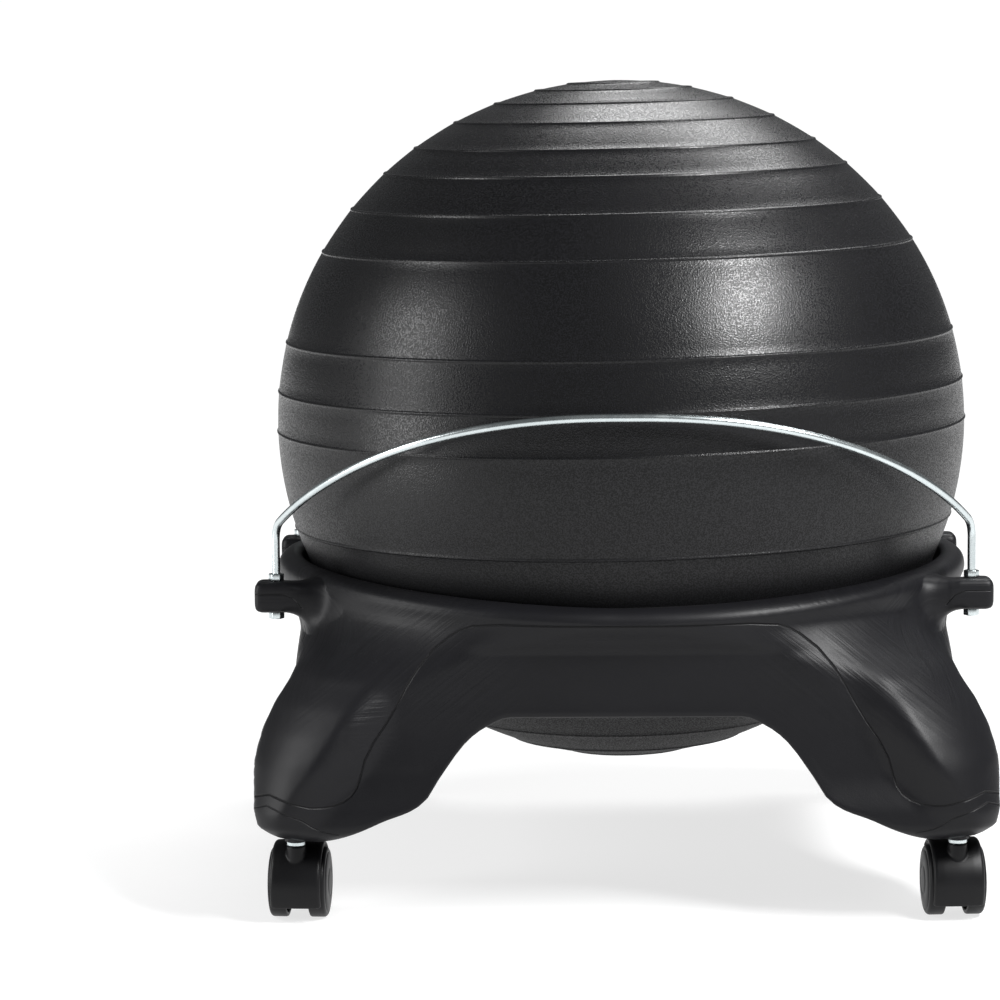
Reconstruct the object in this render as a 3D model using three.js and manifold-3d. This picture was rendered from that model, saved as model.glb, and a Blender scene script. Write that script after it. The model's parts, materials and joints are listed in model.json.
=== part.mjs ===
// Balance ball chair: a ribbed exercise ball seated in a four-legged blow-moulded base,
// held by two bent steel bars and carried on four twin-wheel casters.
// Millimetres, +Z up, origin on the floor under the middle of the chair, the front faces -Y.
import * as THREE from "three";
import { mergeVertices } from "three/addons/utils/BufferGeometryUtils.js";
import Module from "manifold-3d";

const wasm = await Module();
wasm.setup();

// Clearances between pieces
const SEAT_CLEARANCE = 0.3;
const CUT_OVERRUN = 5;

// Ball
const BALL_RADIUS = 260;
const BALL_FLATTENING = 4.4;
const BALL_CENTRE_ABOVE_RIM = 104;
const BALL_WALL = 1.2;
const BALL_LEAN_FORWARD_DEGREES = 0.5;
const BALL_LEAN_LEFT_DEGREES = 1;
const RIB_WIDTH = 3.6;
const RIB_HEIGHT = 1.2;
const UPPER_RIB_DEGREES = [82.5, 77, 69.9, 62.5, 54.6, 48, 39.9, 31.3];
const MIDDLE_RIB_DEGREES = [14.8, 6.4, -0.4];
const LOWER_RIB_DEGREES = [-16.9, -25.8, -34.4, -43, -51.9, -60, -70, -79];
const PLUG_LATITUDE_DEGREES = 21;
const PLUG_SHANK_RADIUS = 3.4;
const PLUG_SHANK_LENGTH = 9;
const PLUG_HEAD_RADIUS = 5.6;
const PLUG_HEAD_HEIGHT = 1.4;

// Moulded base
const BASE_HEIGHT = 173.5;
const RIM_WIDTH = 18.5;
const FOOT_OVERHANG = 10.8;
const LEG_WIDTH = 56.3;
const SIDE_RECESS = 22;
const RECESS_EDGE_WIDTH = 28;
const ARCH_HEIGHT = 88;
const ARCH_EDGE_RADIUS = 4;
const RIM_GAP = 4.5;
const RIM_ROUND = 6;
const RIM_EDGE_ROUND = 10;
const RIM_DIP = 7.5;
const RIM_LIFT = 6;
const SEAT_DEPTH = 52;
const SEAT_BAND = 11;
const SEAT_SHOULDER = 2.2;
const BORE_DEPTH = 78;
const BORE_GAP = 5.5;

// Support bars, their lugs and nuts
const BAR_RADIUS = 3;
const BAR_GAP = 5;
const BAR_RISE = 91;
const BAR_BEND_ABOVE_RIM = 38;
const BAR_BEND_RADIUS = 10;
const BAR_END_BELOW_NUT = 3;
const POST_INSET = 7;
const POST_DEGREES = 27.417;
const LUG_WIDTH = 27;
const LUG_HEIGHT = 22.5;
const LUG_DROP = 1.6;
const LUG_END = 15.5;
const LUG_ROUND = 4;
const LUG_ROOT_DROP = 42;
const LUG_ROOT_INSET = 37;
const NUT_ACROSS_FLATS = 10;
const NUT_HEIGHT = 5;

// Casters
const HOOD_BELOW_FOOT = 3;
const CASTER_INSET = 37.3;
const CASTER_TURN_DEGREES = 4;
const WHEEL_RADIUS = 25;
const WHEEL_WIDTH = 13.8;
const WHEEL_GAP = 15.8;
const TRAIL = 18;
const HOOD_WALL = 3.6;
const HOOD_GAP = 1.9;
const HOOD_WIDTH = 36;
const HOOD_ROUND = 1.6;
const HOOD_FRONT_DEGREES = 208;
const HOOD_BACK_DEGREES = 48;
const BOSS_TURN_DEGREES = 60;
const AXLE_RADIUS = 3;
const SLEEVE_RADIUS = 6.8;
const COLLAR_RADIUS = 6.6;
const COLLAR_HEIGHT = 3.2;
const PIN_RADIUS = 4;
const PIN_LENGTH = 24;
const STEM_RADIUS = 5.4;
const STEM_LENGTH = 33;
const SOCKET_WALL = 2.4;
const LEVER_WIDTH = 22;
const LEVER_LENGTH = 17;
const LEVER_THICKNESS = 2.6;
const TRUNNION_RADIUS = 1.6;
const EAR_THICKNESS = 3;
const EAR_SPREAD_DEGREES = 6;
const PIVOT_DEGREES = 28;

// Facets
const BALL_SEGMENTS = 26;
const WHEEL_SEGMENTS = 16;
const ROUND_SEGMENTS = 10;
const BAR_SIDES = 8;
const BAR_STEPS = 10;
const BEND_STEPS = 4;
const ARC_SEGMENTS = 8;
const HOLLOW_RINGS = 18;

// Heights that follow from the sizes above
const HOOD_RADIUS = WHEEL_RADIUS + HOOD_GAP + HOOD_WALL;
const CASTER_HEIGHT = WHEEL_RADIUS + HOOD_RADIUS + HOOD_BELOW_FOOT;
const RIM_HEIGHT = CASTER_HEIGHT + BASE_HEIGHT;
const BALL_HALF_HEIGHT = BALL_RADIUS - BALL_FLATTENING;
const BALL_CENTRE_HEIGHT = RIM_HEIGHT + BALL_CENTRE_ABOVE_RIM;
const LUG_TOP = RIM_HEIGHT - LUG_DROP;
const LUG_BOTTOM = LUG_TOP - LUG_HEIGHT;
const SLEEVE_TOP = CASTER_HEIGHT - COLLAR_HEIGHT - SEAT_CLEARANCE;

// Widths and radii that follow from the sizes above
const RING_RADIUS = ballRadiusAt(RIM_HEIGHT) + RIM_GAP + RIM_WIDTH;
const FOOT_HALF_WIDTH = RING_RADIUS + FOOT_OVERHANG;
const ARCH_HALF_WIDTH = FOOT_HALF_WIDTH - LEG_WIDTH;
const CASTER_SPREAD = FOOT_HALF_WIDTH - CASTER_INSET;
const POST_X = RING_RADIUS - POST_INSET;
const POST_Y = POST_X * Math.tan((Math.PI * POST_DEGREES) / 180);
const WEB_WIDTH = WHEEL_GAP - 2 * SEAT_CLEARANCE;
const AXLE_BORE_DEPTH = WHEEL_WIDTH * 0.76;
const PIVOT_RADIUS = HOOD_RADIUS + TRUNNION_RADIUS / 2;
const EAR_RADIUS = TRUNNION_RADIUS * 2.2;

const finishes = {
  ball: { color: 0x1d1d20, roughness: 0.55, metalness: 0 },
  base: { color: 0x1b1b1e, roughness: 0.5, metalness: 0 },
  zinc: { color: 0xc3cccd, roughness: 0.25, metalness: 1 },
  nylon: { color: 0x17171a, roughness: 0.4, metalness: 0 },
};

const radians = THREE.MathUtils.degToRad;
const group = new THREE.Group();

// A geometry as a solid: shared corners merged, empty triangles dropped.
function solid(geometry) {
  const bare = geometry.clone();
  bare.deleteAttribute("normal");
  bare.deleteAttribute("uv");
  const merged = mergeVertices(bare, 1e-3);
  const index = merged.index.array;
  const kept = [];
  for (let i = 0; i < index.length; i += 3) {
    const [a, b, c] = index.subarray(i, i + 3);
    if (a !== b && b !== c && c !== a) kept.push(a, b, c);
  }
  const mesh = new wasm.Mesh({
    numProp: 3,
    vertProperties: merged.attributes.position.array,
    triVerts: new Uint32Array(kept),
  });
  return new wasm.Manifold(mesh);
}

// A solid back as a geometry with flat faces.
function geometryOf(shape) {
  const mesh = shape.getMesh();
  const geometry = new THREE.BufferGeometry();
  geometry.setAttribute("position", new THREE.BufferAttribute(mesh.vertProperties, 3));
  geometry.setIndex(new THREE.BufferAttribute(mesh.triVerts, 1));
  const flat = geometry.toNonIndexed();
  flat.computeVertexNormals();
  return flat;
}

function addPiece(name, geometry, finish, parent = group) {
  const piece = new THREE.Mesh(geometry, new THREE.MeshStandardMaterial(finishes[finish]));
  piece.name = name;
  parent.add(piece);
  return piece;
}

// The radius of a hole of straight facets that leaves its clearance at the middle of each facet.
function holeRadius(radius, segments = ROUND_SEGMENTS) {
  return (radius + SEAT_CLEARANCE) / Math.cos(Math.PI / segments);
}

// An upright cylinder from one height to another.
function rod(radius, low, high, segments = ROUND_SEGMENTS) {
  const geometry = new THREE.CylinderGeometry(radius, radius, high - low, segments);
  return geometry.rotateX(Math.PI / 2).translate(0, 0, (low + high) / 2);
}

// A lathe about the Z axis from a profile of [radius, height] pairs.
function turned(profile, segments) {
  const points = profile.map(([radius, height]) => new THREE.Vector2(radius, height));
  return new THREE.LatheGeometry(points, segments).rotateX(Math.PI / 2);
}

// A smooth curve through rows of numbers: the value of one column at a place along the first column.
// Cubic steps with flattened slopes at turning points, so the curve never overshoots its rows.
function through(rows, place, column) {
  const last = rows.length - 1;
  const at = THREE.MathUtils.clamp(place, rows[0][0], rows[last][0]);
  const slope = (k) => (rows[k + 1][column] - rows[k][column]) / (rows[k + 1][0] - rows[k][0]);
  const tangent = (k) => {
    if (k === 0) return slope(0);
    if (k === last) return slope(last - 1);
    const [before, after] = [slope(k - 1), slope(k)];
    return before * after <= 0 ? 0 : (2 * before * after) / (before + after);
  };
  let k = 0;
  while (k < last - 1 && at > rows[k + 1][0]) k += 1;
  const span = rows[k + 1][0] - rows[k][0];
  const t = (at - rows[k][0]) / span;
  const rest = 1 - t;
  const ends = rows[k][column] * (1 + 2 * t) * rest * rest + rows[k + 1][column] * (3 - 2 * t) * t * t;
  return ends + span * t * rest * (tangent(k) * rest - tangent(k + 1) * t);
}

// The ball's radius at a height above the floor.
function ballRadiusAt(height) {
  const share = (height - BALL_CENTRE_HEIGHT) / BALL_HALF_HEIGHT;
  return BALL_RADIUS * Math.sqrt(Math.max(0, 1 - share * share));
}

// Ball

// The ball's outline from the top pole to the bottom pole, with a raised ring at each rib.
function ballOutline() {
  const ribs = [...UPPER_RIB_DEGREES, ...MIDDLE_RIB_DEGREES, ...LOWER_RIB_DEGREES];
  const halfRib = THREE.MathUtils.radToDeg(RIB_WIDTH / 2 / BALL_RADIUS);
  const stops = [[90, 0]];
  for (const rib of ribs) stops.push([rib + halfRib, 0], [rib, RIB_HEIGHT], [rib - halfRib, 0]);
  stops.push([-90, 0]);
  const filled = [];
  stops.forEach(([latitude, raise], i) => {
    filled.push([latitude, raise]);
    if (i === stops.length - 1) return;
    const gap = latitude - stops[i + 1][0];
    const extra = gap > 12 ? 2 : gap > 6 ? 1 : 0;
    for (let k = 1; k <= extra; k += 1) filled.push([latitude - (gap * k) / (extra + 1), 0]);
  });
  return filled.map(([latitude, raise]) => ballPoint(latitude, raise));
}

function ballPoint(latitude, raise) {
  const angle = radians(latitude);
  const radius = latitude === 90 || latitude === -90 ? 0 : (BALL_RADIUS + raise) * Math.cos(angle);
  return [radius, (BALL_HALF_HEIGHT + raise) * Math.sin(angle)];
}

function ballSkin() {
  const outside = solid(turned(ballOutline().reverse(), BALL_SEGMENTS));
  const hollow = [];
  for (let k = 0; k <= HOLLOW_RINGS; k += 1) {
    hollow.push(ballPoint(-90 + (180 * k) / HOLLOW_RINGS, -BALL_WALL));
  }
  const inside = solid(turned(hollow, BALL_SEGMENTS));
  const reach = BALL_RADIUS + CUT_OVERRUN;
  const valve = rod(holeRadius(PLUG_SHANK_RADIUS), BALL_RADIUS / 2, reach);
  return geometryOf(outside.subtract(inside).subtract(solid(plugPlace(valve))));
}

// Turns a piece made on the Z axis to the valve's place at the back of the ball.
function plugPlace(geometry) {
  return geometry.rotateX(radians(PLUG_LATITUDE_DEGREES - 90));
}

function valvePlug() {
  const surface = ballRadiusAt(BALL_CENTRE_HEIGHT + BALL_RADIUS * Math.sin(radians(PLUG_LATITUDE_DEGREES)));
  const seat = surface / Math.cos(radians(PLUG_LATITUDE_DEGREES)) + SEAT_CLEARANCE;
  const tip = seat - PLUG_SHANK_LENGTH;
  const crown = seat + PLUG_HEAD_HEIGHT;
  const profile = [
    [0, tip],
    [PLUG_SHANK_RADIUS * 0.7, tip],
    [PLUG_SHANK_RADIUS, tip + PLUG_SHANK_RADIUS],
    [PLUG_SHANK_RADIUS, seat],
    [PLUG_HEAD_RADIUS, seat],
    [PLUG_HEAD_RADIUS * 0.85, crown],
    [0, crown],
  ];
  return plugPlace(turned(profile, ROUND_SEGMENTS));
}

function buildBall() {
  const ball = new THREE.Group();
  ball.position.z = BALL_CENTRE_HEIGHT;
  ball.rotation.set(radians(BALL_LEAN_FORWARD_DEGREES), radians(-BALL_LEAN_LEFT_DEGREES), 0);
  group.add(ball);
  addPiece("ball", ballSkin(), "ball", ball);
  addPiece("valve_plug", valvePlug(), "ball", ball);
}

// Moulded base

// Rows up the outside of the base: height, how far the sides draw in, the corner's radius
// and how deep the flat under each side lies, then where that flat ends.
const OUTSIDE_shares = [
  [0.0, 0.097, 0.13, 0.1, 0.811],
  [0.015, 0.067, 0.145, 0.15, 0.811],
  [0.04, 0.037, 0.165, 0.22, 0.811],
  [0.08, 0.01, 0.18, 0.43, 0.811],
  [0.15, 0.0, 0.205, 0.64, 0.79],
  [0.3, 0.0, 0.255, 0.97, 0.72],
  [0.41, 0.007, 0.31, 1.0, 0.675],
  [0.53, 0.03, 0.365, 0.78, 0.63],
  [0.64, 0.069, 0.405, 0.24, 0.585],
  [0.76, 0.095, 0.575, 0.0, 0.517],
  [0.82, 0.072, 0.75, 0.0, 0.487],
  [0.89, 0.032, 0.93, 0.0, 0.3],
  [0.97, 0.0, 1.0, 0.0, 0.2],
  [1.0, 0.004, 1.0, 0.0, 0.2],
];

// Half of the arch between two legs: distance from the middle, height of the opening.
const ARCH_shares = [
  [0.0, 1.0],
  [0.38, 1.0],
  [0.474, 0.905],
  [0.535, 0.78],
  [0.581, 0.63],
  [0.623, 0.485],
  [0.656, 0.36],
  [0.707, 0.275],
  [0.791, 0.2],
  [0.884, 0.1],
  [0.953, 0.035],
  [1.0, 0.0],
];

// Columns round an eighth of the base, in degrees from the middle of a side to the corner.
const COLUMN_DEGREES = [0, 11, 19.5, 25, 30, 34.5, 40];

// The base's outer radius in a direction, which is given by its cosine and sine.
function outerRadius(height, direction) {
  const place = (height - CASTER_HEIGHT) / BASE_HEIGHT;
  const [long, short] = [Math.max(...direction), Math.min(...direction)];
  const full = THREE.MathUtils.lerp(FOOT_HALF_WIDTH, RING_RADIUS, THREE.MathUtils.clamp(place, 0, 1));
  const side = full * (1 - through(OUTSIDE_shares, place, 1));
  const corner = side * through(OUTSIDE_shares, place, 2);
  const middle = side - corner;
  const sum = middle * (long + short);
  const onSide = side * (short / long) <= middle;
  const plain = onSide ? side / long : sum + Math.sqrt(sum * sum - 2 * middle * middle + corner * corner);
  const flatEnd = FOOT_HALF_WIDTH * through(OUTSIDE_shares, place, 4);
  const fade = THREE.MathUtils.smoothstep(plain * short, flatEnd, flatEnd + RECESS_EDGE_WIDTH);
  const recess = SIDE_RECESS * through(OUTSIDE_shares, place, 3) * (1 - fade);
  return plain - recess / long;
}

// The height of the base's underside above the floor at a distance from the axis.
function underside(radius, direction) {
  const offset = (radius * Math.min(...direction)) / ARCH_HALF_WIDTH;
  return CASTER_HEIGHT + ARCH_HEIGHT * through(ARCH_shares, offset, 1);
}

// The lowest height at which the outer wall meets the underside.
function wallFoot(direction) {
  let [low, high] = [CASTER_HEIGHT, RIM_HEIGHT];
  for (let k = 0; k < 30; k += 1) {
    const middle = (low + high) / 2;
    if (underside(outerRadius(middle, direction), direction) < middle) high = middle;
    else low = middle;
  }
  return high;
}

const WALL_shares = [0, 0.09, 0.21, 0.35, 0.49, 0.62, 0.75, 0.86, 0.93, 1];
const UNDERSIDE_shares = [0.2, 0.42, 0.62, 0.82];

// The rim's height in a direction: it dips at the front and back, and rises at the left and right.
function rimHeight(direction) {
  const share = Math.pow(direction[0], 1.5);
  return RIM_HEIGHT + THREE.MathUtils.lerp(-RIM_DIP, RIM_LIFT, share);
}

// The base's section in one direction, as [radius, height] pairs round the wall.
function baseSection(direction) {
  const foot = wallFoot(direction);
  const wallLow = foot + ARCH_EDGE_RADIUS;
  const wallHigh = rimHeight(direction) - RIM_EDGE_ROUND;
  const bore = ballRadiusAt(RIM_HEIGHT - BORE_DEPTH) + BORE_GAP;
  const edge = outerRadius(foot, direction) - ARCH_EDGE_RADIUS;
  const points = [];
  for (const share of UNDERSIDE_shares) {
    const radius = THREE.MathUtils.lerp(bore, edge, share);
    points.push([radius, underside(radius, direction)]);
  }
  points.push([edge, underside(edge, direction)]);
  const turn = 1 - Math.SQRT1_2;
  const corner = outerRadius(foot + ARCH_EDGE_RADIUS * turn, direction);
  points.push([corner - ARCH_EDGE_RADIUS * turn, foot + ARCH_EDGE_RADIUS * turn]);
  for (const share of WALL_shares) {
    const height = THREE.MathUtils.lerp(wallLow, wallHigh, share);
    points.push([outerRadius(height, direction), height]);
  }
  points.push(...rimSection(direction));
  const boreTop = RIM_HEIGHT - BORE_DEPTH;
  const boreFoot = underside(bore, direction);
  points.push([bore, boreTop], [bore, boreFoot + ARCH_EDGE_RADIUS]);
  const inner = bore + ARCH_EDGE_RADIUS;
  points.push([inner, underside(inner, direction)]);
  return points;
}

// The rim's crown, the wall down beside the ball and the band that the ball sits on.
function rimSection(direction) {
  const crown = rimHeight(direction);
  const outside = outerRadius(crown - RIM_EDGE_ROUND, direction);
  const inside = ballRadiusAt(crown - RIM_ROUND) + RIM_GAP;
  const seatTop = RIM_HEIGHT - SEAT_DEPTH;
  const halfway = (crown - RIM_ROUND + seatTop) / 2;
  const points = [
    [outside - RIM_EDGE_ROUND * 0.3, crown - RIM_EDGE_ROUND * 0.35],
    [outside - RIM_EDGE_ROUND, crown - RIM_EDGE_ROUND * 0.08],
    [(inside + outside) / 2, crown],
    [inside + RIM_ROUND * 0.3, crown - RIM_ROUND * 0.3],
    [inside, crown - RIM_ROUND],
    [ballRadiusAt(halfway) + RIM_GAP, halfway],
    [ballRadiusAt(seatTop + SEAT_SHOULDER) + seatGap() + SEAT_SHOULDER, seatTop + SEAT_SHOULDER],
  ];
  for (const share of [0, 1]) {
    const height = seatTop - SEAT_BAND * share;
    points.push([ballRadiusAt(height) + seatGap(), height]);
  }
  return points;
}

// The seat's facets lie outside the ball by the clearance, also halfway between two columns.
function seatGap() {
  const widest = Math.max(...COLUMN_DEGREES.map((d, i) => (COLUMN_DEGREES[i + 1] ?? 45) - d));
  const sideways = BALL_RADIUS * (1 - Math.cos(radians(widest / 2)));
  const upright = (SEAT_BAND * SEAT_BAND) / (BALL_RADIUS * 4);
  return SEAT_CLEARANCE + sideways + upright;
}

function columnAngles() {
  const angles = [];
  for (let side = 0; side < 4; side += 1) {
    const start = side * 90;
    for (const d of COLUMN_DEGREES) angles.push(start + d);
    for (const d of [45, ...COLUMN_DEGREES.slice(1).reverse()]) angles.push(start + 90 - d);
  }
  return angles;
}

// The base without lugs and holes: its sections joined round the axis.
function baseBody() {
  const angles = columnAngles();
  const sections = angles.map((degrees) => {
    const angle = radians(degrees);
    const direction = [Math.abs(Math.cos(angle)), Math.abs(Math.sin(angle))];
    return baseSection(direction).map(([radius, height]) => [
      radius * Math.cos(angle),
      radius * Math.sin(angle),
      height,
    ]);
  });
  const rows = sections[0].length;
  const index = [];
  for (let i = 0; i < sections.length; i += 1) {
    const next = (i + 1) % sections.length;
    for (let j = 0; j < rows; j += 1) {
      const up = (j + 1) % rows;
      const [a, b, c, d] = [i * rows + j, next * rows + j, next * rows + up, i * rows + up];
      index.push(a, b, c, a, c, d);
    }
  }
  const geometry = new THREE.BufferGeometry();
  geometry.setAttribute("position", new THREE.Float32BufferAttribute(sections.flat(2), 3));
  geometry.setIndex(index);
  return solid(geometry);
}

// One lug, on the +X side at y = 0, with the web that runs from its underside into the base.
function lugBody() {
  const end = POST_X + LUG_END - LUG_ROUND;
  const root = POST_X - LUG_ROOT_INSET;
  const low = LUG_BOTTOM + LUG_ROUND;
  const web = POST_X - LUG_END;
  const side = new THREE.Shape();
  side.moveTo(root, LUG_TOP - LUG_ROUND);
  side.lineTo(root, low - LUG_ROOT_DROP);
  side.lineTo(web - LUG_ROUND * 2, low - LUG_ROOT_DROP * 0.6);
  side.quadraticCurveTo(web - LUG_ROUND, low, web + LUG_ROUND * 1.5, low);
  side.lineTo(end, low);
  side.lineTo(end, LUG_TOP - LUG_ROUND);
  const depth = LUG_WIDTH - 2 * LUG_ROUND;
  const geometry = new THREE.ExtrudeGeometry(side, {
    depth,
    curveSegments: 3,
    bevelThickness: LUG_ROUND,
    bevelSize: LUG_ROUND,
    bevelSegments: 2,
  });
  return geometry.rotateX(Math.PI / 2).translate(0, depth / 2, 0);
}

const corners = [
  { place: "front_left", x: -1, y: -1 },
  { place: "front_right", x: 1, y: -1 },
  { place: "rear_left", x: -1, y: 1 },
  { place: "rear_right", x: 1, y: 1 },
];

function baseShell() {
  let body = baseBody();
  const boltHole = rod(holeRadius(BAR_RADIUS), LUG_BOTTOM - CUT_OVERRUN, LUG_TOP + CUT_OVERRUN);
  const socketTop = CASTER_HEIGHT + STEM_LENGTH + SOCKET_WALL;
  const socketRadius = STEM_RADIUS + SOCKET_WALL + 2 * SEAT_CLEARANCE;
  const socketHole = rod(holeRadius(socketRadius), CASTER_HEIGHT - CUT_OVERRUN, socketTop);
  for (const { x, y } of corners) {
    const turn = x < 0 ? Math.PI : 0;
    const lug = lugBody().rotateZ(turn).translate(0, y * POST_Y, 0);
    body = body.add(solid(lug));
    body = body.subtract(solid(boltHole.clone().translate(x * POST_X, y * POST_Y, 0)));
    const spread = CASTER_SPREAD;
    body = body.subtract(solid(socketHole.clone().translate(x * spread, y * spread, 0)));
  }
  return geometryOf(body);
}

// Support bars

// A path through given stations: one ring of the swept piece at each.
class StationPath extends THREE.Curve {
  constructor(stations) {
    super();
    this.stations = stations;
  }
  getPoint(t, target = new THREE.Vector3()) {
    const last = this.stations.length - 1;
    const place = THREE.MathUtils.clamp(t, 0, 1) * last;
    const k = Math.min(Math.floor(place), last - 1);
    return target.lerpVectors(this.stations[k], this.stations[k + 1], place - k);
  }
  getPointAt(u, target) {
    return this.getPoint(u, target);
  }
  getTangentAt(u, target = new THREE.Vector3()) {
    const last = this.stations.length - 1;
    const k = Math.round(u * last);
    const after = this.stations[Math.min(k + 1, last)];
    const before = this.stations[Math.max(k - 1, 0)];
    return target.subVectors(after, before).normalize();
  }
}

function swept(stations, radius, sides) {
  const section = new THREE.Shape();
  for (let k = 0; k < sides; k += 1) {
    const angle = (2 * Math.PI * k) / sides;
    const [x, y] = [radius * Math.cos(angle), radius * Math.sin(angle)];
    if (k === 0) section.moveTo(x, y);
    else section.lineTo(x, y);
  }
  const steps = stations.length - 1;
  return new THREE.ExtrudeGeometry(section, { steps, extrudePath: new StationPath(stations) });
}

// The bar's line round the front of the ball at a share of its half width, 0 at the middle.
function barPoint(share) {
  const reach = BALL_RADIUS + BAR_GAP + BAR_RADIUS;
  const postAngle = Math.atan2(POST_X, POST_Y);
  const angle = postAngle * Math.abs(share);
  const spring = Math.sin((Math.PI / 2) * Math.abs(share)) ** 1.5;
  const radius = THREE.MathUtils.lerp(reach, Math.hypot(POST_X, POST_Y), spring);
  const x = Math.sign(share) * radius * Math.sin(angle);
  const y = -radius * Math.cos(angle);
  const rise = (BAR_RISE * (-y - POST_Y)) / (reach - POST_Y);
  return new THREE.Vector3(x, y, RIM_HEIGHT + BAR_BEND_ABOVE_RIM + rise);
}

function barStations() {
  const foot = LUG_BOTTOM - NUT_HEIGHT - SEAT_CLEARANCE - BAR_END_BELOW_NUT;
  const arc = [];
  for (let k = -BAR_STEPS; k <= BAR_STEPS; k += 1) arc.push(barPoint(k / BAR_STEPS));
  const bend = (corner, inward) => {
    const below = corner.clone().setZ(corner.z - BAR_BEND_RADIUS);
    const along = inward.clone().sub(corner).setLength(BAR_BEND_RADIUS).add(corner);
    const curve = new THREE.QuadraticBezierCurve3(below, corner, along);
    return [corner.clone().setZ(foot), corner.clone().setZ(LUG_TOP), ...curve.getPoints(BEND_STEPS)];
  };
  const start = bend(arc[0], arc[1]);
  const end = bend(arc.at(-1), arc.at(-2)).reverse();
  return [...start, ...arc.slice(1, -1), ...end];
}

function hexNut(low) {
  const outline = new THREE.Shape();
  const reach = NUT_ACROSS_FLATS / Math.sqrt(3);
  for (let k = 0; k < 6; k += 1) {
    const angle = (Math.PI * k) / 3;
    const [x, y] = [reach * Math.cos(angle), reach * Math.sin(angle)];
    if (k === 0) outline.moveTo(x, y);
    else outline.lineTo(x, y);
  }
  const hole = new THREE.Path();
  hole.absarc(0, 0, holeRadius(BAR_RADIUS, ROUND_SEGMENTS / 2), 0, 2 * Math.PI, true);
  outline.holes.push(hole);
  const options = { depth: NUT_HEIGHT, bevelEnabled: false, curveSegments: ROUND_SEGMENTS / 2 };
  return new THREE.ExtrudeGeometry(outline, options).translate(0, 0, low);
}

function buildBars() {
  const bar = swept(barStations(), BAR_RADIUS, BAR_SIDES);
  addPiece("front_support_bar", bar, "zinc");
  addPiece("rear_support_bar", bar.clone().rotateZ(Math.PI), "zinc");
  for (const { place, x, y } of corners) {
    const upper = hexNut(LUG_TOP + SEAT_CLEARANCE).translate(x * POST_X, y * POST_Y, 0);
    const lower = hexNut(LUG_BOTTOM - SEAT_CLEARANCE - NUT_HEIGHT).translate(x * POST_X, y * POST_Y, 0);
    addPiece(`upper_nut_${place}`, upper, "zinc");
    addPiece(`lower_nut_${place}`, lower, "zinc");
  }
}

// Casters

// Turns a side profile, drawn backwards and up from the axle, into a piece of a given width.
function acrossCaster(shape, width, round = 0) {
  const depth = width - 2 * round;
  const options = { depth, curveSegments: ARC_SEGMENTS, bevelEnabled: round > 0 };
  Object.assign(options, { bevelThickness: round, bevelSize: round, bevelOffset: -round, bevelSegments: 1 });
  const geometry = new THREE.ExtrudeGeometry(shape, options).translate(0, 0, -depth / 2);
  const [x, y, z] = [new THREE.Vector3(1, 0, 0), new THREE.Vector3(0, 1, 0), new THREE.Vector3(0, 0, 1)];
  return geometry.applyMatrix4(new THREE.Matrix4().makeBasis(y, z, x)).translate(0, TRAIL, WHEEL_RADIUS);
}

// The curved cover over both wheels.
function fenderShape() {
  const [front, back] = [radians(HOOD_FRONT_DEGREES), radians(HOOD_BACK_DEGREES)];
  const shape = new THREE.Shape();
  shape.absarc(0, 0, HOOD_RADIUS, front, back, true);
  shape.absarc(0, 0, HOOD_RADIUS - HOOD_WALL, back, front, false);
  return shape;
}

// The wall between the wheels, which holds the axle and the stem.
function webShape() {
  const [front, back] = [radians(HOOD_FRONT_DEGREES), radians(HOOD_BACK_DEGREES)];
  const boss = AXLE_RADIUS * 2.6;
  const shape = new THREE.Shape();
  shape.absarc(0, 0, HOOD_RADIUS - HOOD_WALL / 2, front, back, true);
  shape.absarc(0, 0, boss, back, radians(HOOD_FRONT_DEGREES - 360 + BOSS_TURN_DEGREES), true);
  return shape;
}

function pivotPlace() {
  const angle = radians(PIVOT_DEGREES);
  return new THREE.Vector2(Math.cos(angle), Math.sin(angle)).multiplyScalar(PIVOT_RADIUS);
}

// One of the two ears that carry the lock lever behind the hood.
function earShape() {
  const pivot = pivotPlace();
  const root = radians(HOOD_BACK_DEGREES + EAR_SPREAD_DEGREES);
  const along = radians(PIVOT_DEGREES);
  const shape = new THREE.Shape();
  shape.absarc(pivot.x, pivot.y, EAR_RADIUS, along - Math.PI, along, false);
  shape.lineTo(HOOD_RADIUS * Math.cos(root), HOOD_RADIUS * Math.sin(root));
  const inner = HOOD_RADIUS - HOOD_WALL * 0.9;
  shape.lineTo(inner * Math.cos(root), inner * Math.sin(root));
  return shape;
}

// A round piece across the caster, centred on a place in the side profile.
function crossRod(radius, width, place = new THREE.Vector2(), segments = ROUND_SEGMENTS) {
  const geometry = new THREE.CylinderGeometry(radius, radius, width, segments).rotateZ(Math.PI / 2);
  return geometry.translate(0, place.x + TRAIL, place.y + WHEEL_RADIUS);
}

function hood(locks) {
  let body = solid(acrossCaster(fenderShape(), HOOD_WIDTH, HOOD_ROUND));
  body = body.add(solid(acrossCaster(webShape(), WEB_WIDTH)));
  body = body.add(solid(rod(SLEEVE_RADIUS, WHEEL_RADIUS, SLEEVE_TOP)));
  if (locks) {
    const shift = (LEVER_WIDTH + EAR_THICKNESS) / 2 + SEAT_CLEARANCE;
    for (const side of [-1, 1]) {
      const ear = acrossCaster(earShape(), EAR_THICKNESS).translate(side * shift, 0, 0);
      body = body.add(solid(ear));
    }
    body = body.subtract(solid(crossRod(holeRadius(TRUNNION_RADIUS, 8), HOOD_WIDTH, pivotPlace(), 8)));
  }
  const pinHole = rod(holeRadius(PIN_RADIUS), SLEEVE_TOP - PIN_LENGTH - SEAT_CLEARANCE, CASTER_HEIGHT);
  body = body.subtract(solid(pinHole));
  body = body.subtract(solid(crossRod(holeRadius(AXLE_RADIUS), HOOD_WIDTH)));
  return geometryOf(body);
}

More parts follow.
